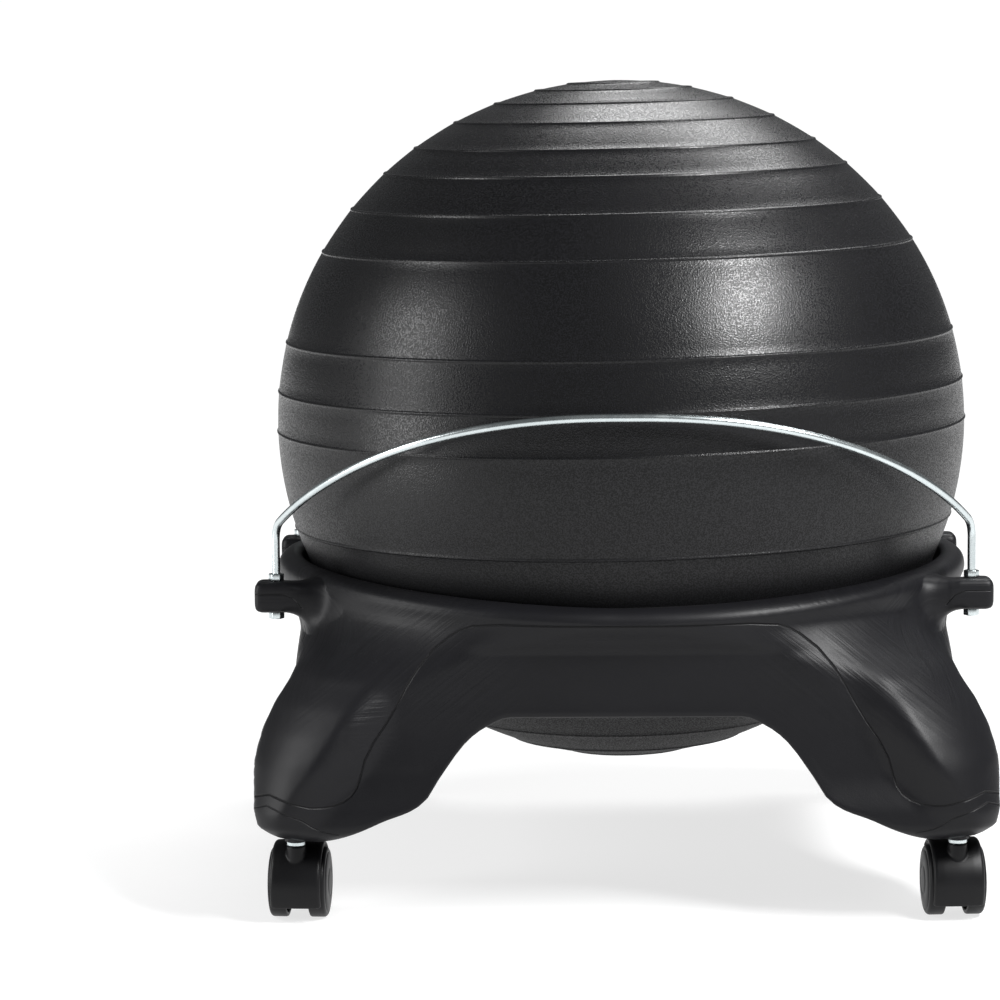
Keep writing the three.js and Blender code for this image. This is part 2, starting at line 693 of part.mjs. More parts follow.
// The steel stem: the pin in the hood, the collar under the foot and the shank in its socket.
function stem() {
  const low = SLEEVE_TOP - PIN_LENGTH;
  const collar = SLEEVE_TOP + SEAT_CLEARANCE;
  const collarTop = CASTER_HEIGHT - SEAT_CLEARANCE;
  const top = CASTER_HEIGHT + STEM_LENGTH;
  const groove = top - STEM_LENGTH / 5;
  const profile = [
    [0, low],
    [PIN_RADIUS, low],
    [PIN_RADIUS, collar],
    [COLLAR_RADIUS, collar],
    [COLLAR_RADIUS, collarTop],
    [STEM_RADIUS, collarTop],
    [STEM_RADIUS, groove - STEM_RADIUS / 2],
    [STEM_RADIUS * 0.8, groove - STEM_RADIUS / 2],
    [STEM_RADIUS * 0.8, groove],
    [STEM_RADIUS, groove],
    [STEM_RADIUS * 0.7, top],
    [0, top],
  ];
  return turned(profile, ROUND_SEGMENTS);
}

// The plastic socket that the stem is pushed into, closed at its top.
function stemSocket() {
  const inner = holeRadius(STEM_RADIUS);
  const outer = STEM_RADIUS + SOCKET_WALL + SEAT_CLEARANCE;
  const top = CASTER_HEIGHT + STEM_LENGTH + SOCKET_WALL - SEAT_CLEARANCE;
  const ceiling = CASTER_HEIGHT + STEM_LENGTH + SEAT_CLEARANCE;
  const profile = [
    [0, ceiling],
    [inner, ceiling],
    [inner, CASTER_HEIGHT],
    [outer, CASTER_HEIGHT],
    [outer, top],
    [0, top],
  ];
  return turned(profile, ROUND_SEGMENTS);
}

// One wheel on the +X side, with a flat facet of its tread on the floor.
function wheel() {
  const tread = WHEEL_RADIUS / Math.cos(Math.PI / WHEEL_SEGMENTS);
  const bore = holeRadius(AXLE_RADIUS, WHEEL_SEGMENTS);
  const hub = AXLE_RADIUS * 2.2;
  const profile = [
    [0, AXLE_BORE_DEPTH],
    [bore, AXLE_BORE_DEPTH],
    [bore, 0],
    [hub, 0],
    [hub * 1.2, WHEEL_WIDTH * 0.6],
    [tread * 0.82, WHEEL_WIDTH * 0.6],
    [tread * 0.87, 0],
    [tread, 0],
    [tread, WHEEL_WIDTH * 0.76],
    [tread * 0.9, WHEEL_WIDTH * 0.88],
    [tread * 0.5, WHEEL_WIDTH],
    [0, WHEEL_WIDTH],
  ];
  const disc = turned(profile, WHEEL_SEGMENTS).rotateZ(Math.PI / WHEEL_SEGMENTS);
  return disc.rotateY(Math.PI / 2).translate(WHEEL_GAP / 2, 0, 0);
}

// The pedal that presses its nose on both treads when it is trodden down.
function lockLever() {
  const boss = EAR_RADIUS * 0.85;
  const tip = boss + LEVER_LENGTH * 0.3;
  const shape = new THREE.Shape();
  shape.moveTo(0, boss);
  shape.lineTo(LEVER_LENGTH * 0.9, tip);
  shape.lineTo(LEVER_LENGTH, tip - LEVER_THICKNESS / 2);
  shape.lineTo(LEVER_LENGTH * 0.95, tip - LEVER_THICKNESS);
  shape.lineTo(boss * 1.2, boss - LEVER_THICKNESS);
  shape.lineTo(boss * 0.6, -boss * 0.8);
  shape.lineTo(-boss * 0.55, -boss * 1.3);
  shape.lineTo(-boss, -boss * 0.4);
  shape.lineTo(-boss * 0.7, boss * 0.7);
  const pivot = pivotPlace();
  const pedal = acrossCaster(shape, LEVER_WIDTH).translate(0, pivot.x, pivot.y);
  const trunnionWidth = LEVER_WIDTH + EAR_THICKNESS * 2;
  return geometryOf(solid(pedal).add(solid(crossRod(TRUNNION_RADIUS, trunnionWidth, pivot, 8))));
}

function buildCaster({ place, x, y }) {
  const caster = new THREE.Group();
  caster.position.set(x * CASTER_SPREAD, y * CASTER_SPREAD, 0);
  caster.rotation.z = radians(y < 0 ? x * CASTER_TURN_DEGREES : 180 - x * CASTER_TURN_DEGREES);
  group.add(caster);
  const locks = y > 0;
  addPiece(`stem_socket_${place}`, stemSocket(), "nylon", caster);
  addPiece(`caster_stem_${place}`, stem(), "zinc", caster);
  addPiece(`caster_hood_${place}`, hood(locks), "nylon", caster);
  const axleLength = WHEEL_GAP + 2 * (AXLE_BORE_DEPTH - SEAT_CLEARANCE);
  addPiece(`caster_axle_${place}`, crossRod(AXLE_RADIUS, axleLength), "zinc", caster);
  for (const [side, turn] of [["left", Math.PI], ["right", 0]]) {
    const piece = addPiece(`wheel_${side}_${place}`, wheel(), "nylon", caster);
    piece.position.set(0, TRAIL, WHEEL_RADIUS);
    piece.rotation.z = turn;
  }
  if (locks) addPiece(`lock_lever_${place}`, lockLever(), "nylon", caster);
}

addPiece("base_shell", baseShell(), "base");
buildBall();
buildBars();
for (const corner of corners) buildCaster(corner);

export default group;
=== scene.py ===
import json
import math

import bmesh
import bpy
from mathutils import Matrix, Quaternion, Vector
from mathutils.kdtree import KDTree


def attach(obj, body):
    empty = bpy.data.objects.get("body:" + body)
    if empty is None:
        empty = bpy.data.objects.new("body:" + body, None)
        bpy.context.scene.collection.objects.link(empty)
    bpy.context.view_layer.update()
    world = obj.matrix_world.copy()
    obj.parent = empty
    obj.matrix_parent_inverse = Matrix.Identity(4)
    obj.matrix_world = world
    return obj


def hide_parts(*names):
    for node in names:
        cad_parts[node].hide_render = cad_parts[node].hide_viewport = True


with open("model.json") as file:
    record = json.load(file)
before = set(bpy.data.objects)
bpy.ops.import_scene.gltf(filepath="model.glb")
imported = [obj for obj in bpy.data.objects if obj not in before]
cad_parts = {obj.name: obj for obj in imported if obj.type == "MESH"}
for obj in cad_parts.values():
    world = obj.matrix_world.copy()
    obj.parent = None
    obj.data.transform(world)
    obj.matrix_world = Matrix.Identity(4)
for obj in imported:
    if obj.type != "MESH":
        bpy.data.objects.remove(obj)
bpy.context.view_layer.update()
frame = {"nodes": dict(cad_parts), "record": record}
scene = bpy.context.scene

MM = 0.001
CORNERS = {
    "front_left": (-1, -1),
    "front_right": (1, -1),
    "rear_left": (-1, 1),
    "rear_right": (1, 1),
}

# Ball
BALL_RADIUS = 260
BALL_HALF_HEIGHT = 255.6
BALL_CENTRE_HEIGHT = 336
BALL_LEAN_FORWARD_DEGREES = 0.5
BALL_LEAN_LEFT_DEGREES = 1
RIB_WIDTH = 3.3
RIB_HEIGHT = 0.85
RIB_DEGREES = [82.5, 77, 69.9, 62.5, 54.6, 48, 39.9, 31.3, 14.8, 6.4, -0.4]
RIB_DEGREES += [-16.9, -25.8, -34.4, -43, -51.9, -60, -70, -79]
BAND_FLATTENING = 0.3
WIDEST_FLAT_BAND_DEGREES = 10
BAND_STEP_DEGREES = 1.4
BALL_STEPS = 288
PLUG_DEGREES = 21

# Across a rib: place in shares of half its width, lift in shares of its height.
RIB_SECTION = [
    (-1, 0),
    (-0.76, 0.12),
    (-0.4, 0.72),
    (-0.14, 1),
    (0.14, 1),
    (0.4, 0.72),
    (0.76, 0.12),
    (1, 0),
]

# Moulded base
BASE_FOOT = 58.5
BASE_HEIGHT = 173.5
RIM_HEIGHT = BASE_FOOT + BASE_HEIGHT
FOOT_HALF_WIDTH = 271.3
RING_RADIUS = 260.5
SIDE_RECESS = 22
RECESS_EDGE_WIDTH = 28
ARCH_HEIGHT = 88
ARCH_HALF_WIDTH = 215
ARCH_EDGE = 4
RIM_GAP = 4.5
RIM_ROUND = 6
RIM_EDGE_ROUND = 10
RIM_DIP = 7.5
RIM_LIFT = 6
SEAT_DEPTH = 52
SEAT_BAND = 11
SEAT_GAP = 1.6
BORE_DEPTH = 78
BORE_GAP = 5.5
BOLT_HOLE = 3.4
BOLT_HOLE_SPAN = (190, 240)
SOCKET_HOLE = 8.6
SOCKET_HOLE_SPAN = (50, 94.2)
CASTER_SPREAD = 234
COLUMNS = 384
COLUMN_PULL = 0.1
WALL_ROWS = 72
UNDERSIDE_ROWS = 15
FOOT_SEARCH_STEPS = 24

# Bolt lugs, each with the web under it that runs into the wall
POST_X = 253.5
POST_Y = 131.5
LUG_WIDTH = 27
LUG_TOP = 230.4
LUG_BOTTOM = 207.9
LUG_END = 15.5
LUG_DEPTH = 45
LUG_ROUND = 4.6
LUG_SLANT = 0.6
LUG_CELL = 1.1
WEB_TOP = LUG_TOP - 6
WEB_FOOT = 182
WEB_CORNER = (222, 184)
WEB_BEND = 231
WEB_END = 250

# Where a lug meets the wall: the block of wall taken, and how far and how much it is smoothed.
BLEND_BLOCK = (110, 84, 62)
BLEND_BLOCK_PLACE = (240, -138, 216)
BLEND_CELL = 1.3
BLEND_REACH = 24
BLEND_SHARES = (1.0, 0.9, 0.8, 0.7, 0.6, 0.5)
BLEND_PASSES = 30
BLEND_SINK = 0.35
CREASE_ANGLE = 0.3
CREASE_BAND = 20
CREASE_START = 205
LUG_KEPT = 17

# Rows up the outside of the base: height, how far the sides draw in, the corner's radius,
# how deep the flat under each side lies, and where that flat ends.
OUTSIDE_SHARES = [
    (0.0, 0.097, 0.13, 0.1, 0.811),
    (0.015, 0.067, 0.145, 0.15, 0.811),
    (0.04, 0.037, 0.165, 0.22, 0.811),
    (0.08, 0.01, 0.18, 0.43, 0.811),
    (0.15, 0.0, 0.205, 0.64, 0.79),
    (0.3, 0.0, 0.255, 0.97, 0.72),
    (0.41, 0.007, 0.31, 1.0, 0.675),
    (0.53, 0.03, 0.365, 0.78, 0.63),
    (0.64, 0.069, 0.405, 0.32, 0.585),
    (0.76, 0.095, 0.575, 0.0, 0.517),
    (0.82, 0.072, 0.75, 0.0, 0.487),
    (0.89, 0.032, 0.93, 0.0, 0.3),
    (0.97, 0.0, 1.0, 0.0, 0.2),
    (1.0, 0.004, 1.0, 0.0, 0.2),
]

# Half of the arch between two legs: distance from the middle, height of the opening.
ARCH_SHARES = [
    (0.0, 1.0),
    (0.38, 1.0),
    (0.474, 0.905),
    (0.535, 0.78),
    (0.581, 0.63),
    (0.623, 0.485),
    (0.656, 0.36),
    (0.707, 0.275),
    (0.791, 0.2),
    (0.884, 0.1),
    (0.953, 0.035),
    (1.0, 0.0),
]

# The moulding line on each side: distance from the side's middle, height.
MOULD_LINE = [
    (0, 213.2),
    (87, 213.5),
    (107.4, 211.7),
    (116, 208.6),
    (122.8, 204.6),
    (135.5, 194.5),
    (145.7, 182.6),
    (153.4, 170.6),
    (161.1, 156.4),
    (168.7, 143.6),
    (177.7, 130.6),
    (183.6, 118.9),
    (187.1, 106.3),
    (189.8, 99),
    (193.6, 93.6),
    (199.4, 89.6),
    (206, 87.2),
    (214, 86.4),
    (222.4, 87),
    (237.7, 91.2),
    (262, 98),
]
FOOT_LINE = [(203, 67), (214, 69.5), (221, 73), (228, 78), (241.5, 83.6), (258, 89.3)]
LUG_LINE = [(272, 222), (248, 222), (240, 219), (234, 212)]

# Marks on the base: the slant of its brushing, and the middle of the scuffs on its front in metres.
BRUSHING_DEGREES = 38
SCUFF_PLACE = (-0.178, 0.14)

# Support bars and nuts
BAR_RADIUS = 3
BAR_REACH = 268
BAR_RISE = 91
BAR_BEND_HEIGHT = 270
BAR_BEND_RADIUS = 10
BAR_BEND_CLEAR = 14
BAR_FOOT = 202.2
BAR_HALF_STEPS = 40
BAR_SIDES = 28
NUT_ACROSS_FLATS = 10
NUT_HEIGHT = 5
NUT_CHAMFER = 0.55
NUT_FACE_WIDTH = 1.25
SEAT_CLEARANCE = 0.3

# Casters
CASTER_TURN_DEGREES = 4
WHEEL_RADIUS = 25
WHEEL_GAP = 15.8
TRAIL = 18
HOOD_RADIUS = 30.5
HOOD_WALL = 3.6
HOOD_WIDTH = 36
HOOD_FRONT_DEGREES = 208
HOOD_BACK_DEGREES = 48
HOOD_STEPS = 40
HOOD_CELL = 0.62
HOOD_WEB_WIDTH = 15.2
AXLE_BOSS_RADIUS = 7.8
AXLE_HOLE = 3.4
STEM_HOLE = 4.4
SLEEVE_RADIUS = 6.8
SLEEVE_TOP = 55
PIVOT_RADIUS = 31.3
PIVOT_DEGREES = 28
EAR_RADIUS = 3.52
EAR_WIDTH = 3
EAR_PLACE = 12.8
LEVER_WIDTH = 22
LEVER_LENGTH = 17
PIN_RADIUS = 1.6
PIN_HALF_LENGTH = 14

# Camera, fitted to the photo
CAMERA_PLACE = (-0.0391, -2.85531, 0.60538)
CAMERA_HEADING = 0.0185
CAMERA_DIP = 0.1157
CAMERA_ROLL = -0.0077
CAMERA_LENS = 135.56
CAMERA_SENSOR = 36

# Lamps: place, target, size, power, roll in degrees
LAMPS = {
    "right_softbox": ((0.93, -0.86, 1.34), (0, 0, 0.4), (0.3, 0.72), 46, -35),
    "left_softbox": ((-1.42, -0.42, 0.98), (0, 0, 0.36), (0.55, 0.5), 10, 0),
    "left_strip": ((-1.5, -0.55, 0.32), (0, 0, 0.2), (0.5, 0.4), 7, 0),
    "overhead": ((0.35, 0.9, 1.8), (0, 0.1, 0.4), (1.2, 0.7), 25, 0),
}
WORLD_COLOUR = (0.96, 0.98, 1, 1)
WORLD_STRENGTH = 0.12
BACKDROP_STRENGTH = 1.03
FLOOR_DROP = 0.0005


# Materials


class Signal:
    """One output in a material. Python's signs on it add the Math nodes."""

    def __init__(self, paint, socket):
        self.paint = paint
        self.socket = socket

    def math(self, operation, *others):
        return self.paint.node("ShaderNodeMath", {"operation": operation}, [self, *others])

    def __add__(self, other):
        return self.math("ADD", other)

    def __radd__(self, other):
        return self.math("ADD", other)

    def __sub__(self, other):
        return self.math("SUBTRACT", other)

    def __rsub__(self, other):
        return self.paint.node("ShaderNodeMath", {"operation": "SUBTRACT"}, [other, self])

    def __mul__(self, other):
        return self.math("MULTIPLY", other)

    def __rmul__(self, other):
        return self.math("MULTIPLY", other)

    def __truediv__(self, other):
        return self.math("DIVIDE", other)

    def __abs__(self):
        return self.math("ABSOLUTE")

    def least(self, other):
        return self.math("MINIMUM", other)

    def most(self, other):
        return self.math("MAXIMUM", other)

    def ramp(self, low, high):
        """0 at low, 1 at high, smooth between them."""
        settings = {"interpolation_type": "SMOOTHSTEP"}
        return self.paint.node("ShaderNodeMapRange", settings, [self, low, high, 0, 1])


class Paint:
    """A material under construction."""

    def __init__(self, name, colour, roughness, metallic=0.0, specular=0.5):
        self.material = bpy.data.materials.new(name)
        self.material.use_nodes = True
        self.tree = self.material.node_tree
        self.shader = self.tree.nodes["Principled BSDF"]
        self.shader.inputs["Base Color"].default_value = (*colour, 1)
        self.shader.inputs["Roughness"].default_value = roughness
        self.shader.inputs["Metallic"].default_value = metallic
        self.shader.inputs["Specular IOR Level"].default_value = specular

    def node(self, kind, settings=None, values=(), output=0):
        """Adds a node. Values go to its inputs by order, or by name where they are a dict."""
        made = self.tree.nodes.new(kind)
        for key, value in (settings or {}).items():
            setattr(made, key, value)
        pairs = values.items() if isinstance(values, dict) else enumerate(values)
        for key, value in pairs:
            if isinstance(value, Signal):
                self.tree.links.new(value.socket, made.inputs[key])
            else:
                made.inputs[key].default_value = value
        return Signal(self, made.outputs[output])

    def place(self):
        return self.node("ShaderNodeTexCoord", output=3)

    def axes(self):
        made = self.node("ShaderNodeSeparateXYZ", None, [self.place()]).socket.node
        return [Signal(self, output) for output in made.outputs]

    def joined(self, x, y, z):
        return self.node("ShaderNodeCombineXYZ", None, [x, y, z])

    def noise(self, scale, detail=2.0, roughness=0.5, vector=None):
        values = {"Vector": vector or self.place(), "Scale": scale}
        values.update({"Detail": detail, "Roughness": roughness})
        return self.node("ShaderNodeTexNoise", None, values)

    def blend(self, factor, low, high):
        """A colour between two colours."""
        settings = {"data_type": "RGBA"}
        made = self.node("ShaderNodeMix", settings, {0: factor, 6: (*low, 1), 7: (*high, 1)})
        return Signal(self, made.socket.node.outputs[2])

    def bump(self, height, distance, under=None, strength=1.0):
        values = {"Strength": strength, "Distance": distance, "Height": height}
        if under:
            values["Normal"] = under
        return self.node("ShaderNodeBump", None, values)

    def set(self, **inputs):
        for key, signal in inputs.items():
            self.tree.links.new(signal.socket, self.shader.inputs[key.replace("_", " ")])

    def near_line(self, across, height, points, width):
        """1 on a line through points, 0 beyond its width. Points are in millimetres."""
        nearest = None
        for (x0, z0), (x1, z1) in zip(points, points[1:]):
            dx, dz = (x1 - x0) * MM, (z1 - z0) * MM
            length = math.hypot(dx, dz)
            ux, uz = dx / length, dz / length
            px, pz = across - x0 * MM, height - z0 * MM
            along = (px * ux + pz * uz).most(0.0).least(length)
            gap_x, gap_z = px - along * ux, pz - along * uz
            gap = gap_x * gap_x + gap_z * gap_z
            nearest = gap if nearest is None else nearest.least(gap)
        return 1.0 - nearest.math("SQRT").ramp(0.0, width * MM)


def ball_vinyl():
    """Soft PVC with a fine pebble grain that glints in the light."""
    paint = Paint("ball_vinyl_looks", (0.01, 0.01, 0.011), 0.36, specular=0.26)
    dark, light = (0.0006, 0.0006, 0.0008), (0.0105, 0.0105, 0.0117)
    mottle = paint.noise(9, 3, 0.55)
    underside = 1.0 - paint.axes()[2].ramp(0.1, 0.37)
    grain = paint.noise(900, 1, 0.5)
    speckle = grain.ramp(0.42, 0.6)
    paint.set(
        Base_Color=paint.blend(speckle * 0.8 + mottle * 0.2, dark, light),
        Roughness=0.18 + mottle * 0.06 + (1.0 - speckle) * 0.22 + underside * 0.34,
        Normal=paint.bump(grain, 0.0002),
    )
    return paint.material


def base_plastic():
    """Satin polyethylene, brushed on the shoulders, with a few scuffs and its moulding lines, whose
    grooves are darkened with painted shade.
    """
    dark, light = (0.002, 0.002, 0.0024), (0.0085, 0.0085, 0.0105)
    paint = Paint("base_plastic_looks", (0.014, 0.014, 0.016), 0.42, specular=0.22)
    x, y, z = paint.axes()
    across, out = abs(x).least(abs(y)), abs(x).most(abs(y))
    lean = math.radians(BRUSHING_DEGREES)
    over = across * math.sin(lean) + z * math.cos(lean)
    along = z * math.sin(lean) - across * math.cos(lean)
    brushed = 0.1 + z.ramp(0.12, 0.17) * across.ramp(0.06, 0.12) * 0.9
    strokes = paint.noise(1, 3, 0.6, paint.joined(over * 420, along * 14, x * 6))
    strokes = 0.5 + (strokes - 0.5) * brushed
    mottle = paint.noise(7, 3, 0.5)
    waves = paint.noise(26, 2, 0.45)
    skin = paint.noise(950, 2)
    scratches = paint.noise(1, 4, 0.7, paint.joined(x * 60, y * 60, z * 900)).ramp(0.62, 0.8)
    line = paint.near_line(across, z, MOULD_LINE, 1.1) * out.ramp(0.2, 0.21)
    foot_line = paint.near_line(across, z, FOOT_LINE, 0.9)
    lug = z.ramp(0.2, 0.207) * across.ramp(0.112, 0.114) * (1.0 - across.ramp(0.149, 0.151))
    lug_line = paint.near_line(out, z, LUG_LINE, 0.8) * lug
    # Moulding lines: shallow grooves in the bump, with painted shade darkening their colour and
    # rougher skin along them.
    seams_and_shade = line.most(foot_line * 0.8).most(lug_line * 0.8)
    spot_x, spot_z = x - SCUFF_PLACE[0], z - SCUFF_PLACE[1]
    spot = spot_x * spot_x / 0.00045 + spot_z * spot_z / 0.0008
    dragged = (1.0 - spot.ramp(0.2, 1.0)) * (1.0 - y.ramp(-0.01, 0.0))
    creases = paint.noise(1, 2, 0.5, paint.joined(x * 18, 0.0, z * 300)) * dragged
    rough = 0.34 + mottle * 0.1 + strokes * 0.12 + scratches * 0.08
    under = paint.bump(waves, 0.0016, strength=0.5)
    under = paint.bump(strokes * 2.6 + skin * 0.4 + creases * 6.0, 0.00016, under, 0.9)
    paint.set(
        Base_Color=paint.blend((mottle * 0.5 + strokes * 0.5) * (1.0 - seams_and_shade), dark, light),
        Roughness=rough.most(seams_and_shade * 0.8),
        Normal=paint.bump(1.0 - seams_and_shade, 0.0006, under, 0.9),
    )
    return paint.material


def zinc_plate():
    """Bright zinc on drawn steel wire."""
    paint = Paint("zinc_plate_looks", (0.62, 0.68, 0.69), 0.24, metallic=1.0)
    x, y, z = paint.axes()
    bloom = paint.noise(60, 3, 0.6)
    draw = paint.noise(1, 3, 0.6, paint.joined(x * 900, y * 900, z * 60))
    paint.set(
        Base_Color=paint.blend(bloom, (0.5, 0.56, 0.58), (0.72, 0.77, 0.77)),
        Roughness=0.16 + bloom * 0.14 + draw * 0.08,
        Normal=paint.bump(draw * 0.4 + bloom * 0.6, 0.00005, strength=0.6),
    )
    return paint.material


def moulded_nylon(name, colour, rough):
    """Moulded nylon with a faint skin and light scuffs."""
    paint = Paint(name, colour, rough, specular=0.2)
    mottle = paint.noise(40, 3, 0.5)
    skin = paint.noise(1100, 2)
    scuffs = paint.noise(180, 4, 0.75).ramp(0.58, 0.75)
    low = tuple(c * 0.7 for c in colour)
    high = tuple(c * 1.9 for c in colour)
    paint.set(
        Base_Color=paint.blend(mottle * 0.6 + scuffs * 0.4, low, high),
        Roughness=rough - 0.06 + mottle * 0.12 + scuffs * 0.1,
        Normal=paint.bump(skin * 0.6 + mottle * 0.4, 0.00008, strength=0.6),
    )
    return paint.material


LOOKS = {
    "ball_vinyl": ball_vinyl(),
    "base_plastic": base_plastic(),
    "zinc_steel": zinc_plate(),
    "caster_nylon": moulded_nylon("caster_nylon_looks", (0.005, 0.005, 0.0057), 0.42),
    "wheel_nylon": moulded_nylon("wheel_nylon_looks", (0.006, 0.006, 0.0068), 0.42),
    "socket_nylon": moulded_nylon("socket_nylon_looks", (0.016, 0.016, 0.018), 0.5),
    "valve_plastic": moulded_nylon("valve_plastic_looks", (0.018, 0.018, 0.02), 0.4),
}


# Shapes


def made_object(name, bm):
    mesh = bpy.data.meshes.new(name)
    bm.to_mesh(mesh)
    bm.free()
    thing = bpy.data.objects.new(name, mesh)
    scene.collection.objects.link(thing)
    return thing


def add_piece(name, bm, slot, body, replaced, crease=38):
    """Puts a shape of millimetres into the scene as a piece that rides on a body."""
    bmesh.ops.transform(bm, matrix=Matrix.Scale(MM, 4), verts=bm.verts)
    piece = made_object(name, bm)
    piece.data.polygons.foreach_set("use_smooth", [True] * len(piece.data.polygons))
    piece.data.set_sharp_from_angle(angle=math.radians(crease))
    piece.data.materials.append(LOOKS[slot])
    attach(piece, body)
    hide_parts(*replaced)


def turned(profile, steps):
    """A shape turned about the Z axis from (radius, height) pairs."""
    bm = bmesh.new()
    verts = [bm.verts.new((radius, 0, height)) for radius, height in profile]
    edges = [bm.edges.new(pair) for pair in zip(verts, verts[1:])]
    bmesh.ops.spin(
        bm,
        geom=verts + edges,
        axis=(0, 0, 1),
        cent=(0, 0, 0),
        angle=2 * math.pi,
        steps=steps,
        use_merge=True,
    )
    bmesh.ops.remove_doubles(bm, verts=bm.verts, dist=1e-3)
    bmesh.ops.recalc_face_normals(bm, faces=bm.faces)
    return bm


def moved(bm, matrix):
    bmesh.ops.transform(bm, matrix=matrix, verts=bm.verts)
    return bm


def copied(bm, matrix):
    """A moved copy of a shape."""
    return moved(bm.copy(), matrix)


def rod(radius, low, high, segments=48):
    bm = bmesh.new()
    bmesh.ops.create_cone(
        bm, cap_ends=True, segments=segments, radius1=radius, radius2=radius, depth=high - low
    )
    return moved(bm, Matrix.Translation((0, 0, (low + high) / 2)))


def box(size, place):
    bm = bmesh.new()
    bmesh.ops.create_cube(bm, size=1)
    bmesh.ops.scale(bm, vec=size, verts=bm.verts)
    bmesh.ops.translate(bm, vec=place, verts=bm.verts)
    return bm


def block_from(outline, width):
    """A closed outline of (y, z) pairs drawn out along X to both sides of the middle."""
    bm = bmesh.new()
    face = bm.faces.new([bm.verts.new((-width / 2, y, z)) for y, z in outline])
    drawn = bmesh.ops.extrude_face_region(bm, geom=[face])["geom"]
    verts = [v for v in drawn if isinstance(v, bmesh.types.BMVert)]
    bmesh.ops.translate(bm, vec=(width, 0, 0), verts=verts)
    bmesh.ops.recalc_face_normals(bm, faces=bm.faces)
    return bm


def rounded(bm, edges, size, segments):
    bmesh.ops.bevel(
        bm,
        geom=edges,
        offset=size,
        offset_type="OFFSET",
        affect="EDGES",
        segments=segments,
        profile=0.5,
        material=-1,
        clamp_overlap=True,
    )
    return bm


def combined(shape, added=(), cut=(), kept=()):
    """One shape with others joined to it and cut from it, or the part of it inside others."""
    main = made_object("main_shape", shape)
    tools = []
    for kind, shapes in (("UNION", added), ("DIFFERENCE", cut), ("INTERSECT", kept)):
        for other in shapes:
            tool = made_object("tool_shape", other)
            tools.append(tool)
            step = main.modifiers.new("step", "BOOLEAN")
            step.operation = kind
            step.solver = "EXACT"
            step.object = tool
    bpy.context.view_layer.update()
    result = main.evaluated_get(bpy.context.evaluated_depsgraph_get())
    bm = bmesh.new()
    bm.from_mesh(result.to_mesh())
    result.to_mesh_clear()
    for thing in [main, *tools]:
        mesh = thing.data
        bpy.data.objects.remove(thing)
        bpy.data.meshes.remove(mesh)
    return bm


def smoothed(bm, verts, passes):
    for _ in range(passes):
        bmesh.ops.smooth_vert(
            bm, verts=verts, factor=0.5, use_axis_x=True, use_axis_y=True, use_axis_z=True
        )


def remeshed(bm, cell, passes):
    """The shape as one even skin, its corners softened."""
    thing = made_object("skin_shape", bm)
    step = thing.modifiers.new("step", "REMESH")
    step.mode = "VOXEL"
    step.voxel_size = cell
    step.adaptivity = 0
    bpy.context.view_layer.update()
    result = thing.evaluated_get(bpy.context.evaluated_depsgraph_get())
    skin = bmesh.new()
    skin.from_mesh(result.to_mesh())
    result.to_mesh_clear()
    mesh = thing.data
    bpy.data.objects.remove(thing)
    bpy.data.meshes.remove(mesh)
    smoothed(skin, skin.verts, passes)
    bmesh.ops.recalc_face_normals(skin, faces=skin.faces)
    return skin


def through(rows, place, column):
    """A smooth curve through rows of numbers that never overshoots them."""
    last = len(rows) - 1
    at = min(max(place, rows[0][0]), rows[last][0])

    def slope(k):
        return (rows[k + 1][column] - rows[k][column]) / (rows[k + 1][0] - rows[k][0])

    def tangent(k):
        if k == 0:
            return slope(0)
        if k == last:
            return slope(last - 1)
        before, after = slope(k - 1), slope(k)
        return 0 if before * after <= 0 else 2 * before * after / (before + after)

    k = 0
    while k < last - 1 and at > rows[k + 1][0]:
        k += 1
    span = rows[k + 1][0] - rows[k][0]
    t = (at - rows[k][0]) / span
    rest = 1 - t
    ends = rows[k][column] * (1 + 2 * t) * rest * rest + rows[k + 1][column] * (3 - 2 * t) * t * t
    return ends + span * t * rest * (tangent(k) * rest - tangent(k + 1) * t)


def curve_between(start, control, end, steps):
    """Points on a bend from start to end, without its start."""
    points = []
    for k in range(1, steps + 1):
        t = k / steps
        first, second, third = (1 - t) ** 2, 2 * t * (1 - t), t * t
        parts = zip(start, control, end)
        points.append(tuple(first * a + second * b + third * c for a, b, c in parts))
    return points


# Ball


def ball_radius_at(height):
    share = (height - BALL_CENTRE_HEIGHT) / BALL_HALF_HEIGHT
    return BALL_RADIUS * math.sqrt(max(0, 1 - share * share))


def ball_point(latitude, lift=0):
    angle = math.radians(latitude)
    radius = 0 if abs(latitude) == 90 else (BALL_RADIUS + lift) * math.cos(angle)
    return radius, (BALL_HALF_HEIGHT + lift) * math.sin(angle)


def ball_shape():
    """Raised rings with the skin drawn a little flatter between them."""
    half = math.degrees(RIB_WIDTH / 2 / BALL_RADIUS)
    profile = [ball_point(-90)]
    last = -90
    for rib in [*sorted(RIB_DEGREES), 90]:
        span = rib - half - last if rib < 90 else 90 - last
        steps = max(2, int(span / BAND_STEP_DEGREES))
        hollow = BALL_RADIUS * (1 - math.cos(math.radians(span / 2))) * BAND_FLATTENING
        hollow = hollow if span < WIDEST_FLAT_BAND_DEGREES else 0
        for k in range(1, steps):
            share = k / steps
            profile.append(ball_point(last + span * share, -hollow * (1 - (2 * share - 1) ** 2)))
        if rib < 90:
            for place, lift in RIB_SECTION:
                profile.append(ball_point(rib + half * place, RIB_HEIGHT * lift))
            last = rib + half
    profile.append(ball_point(90))
    return turned(profile, BALL_STEPS)


def ball_place():
    forward = Matrix.Rotation(math.radians(BALL_LEAN_FORWARD_DEGREES), 4, "X")
    left = Matrix.Rotation(math.radians(-BALL_LEAN_LEFT_DEGREES), 4, "Y")
    return Matrix.Translation((0, 0, BALL_CENTRE_HEIGHT)) @ forward @ left


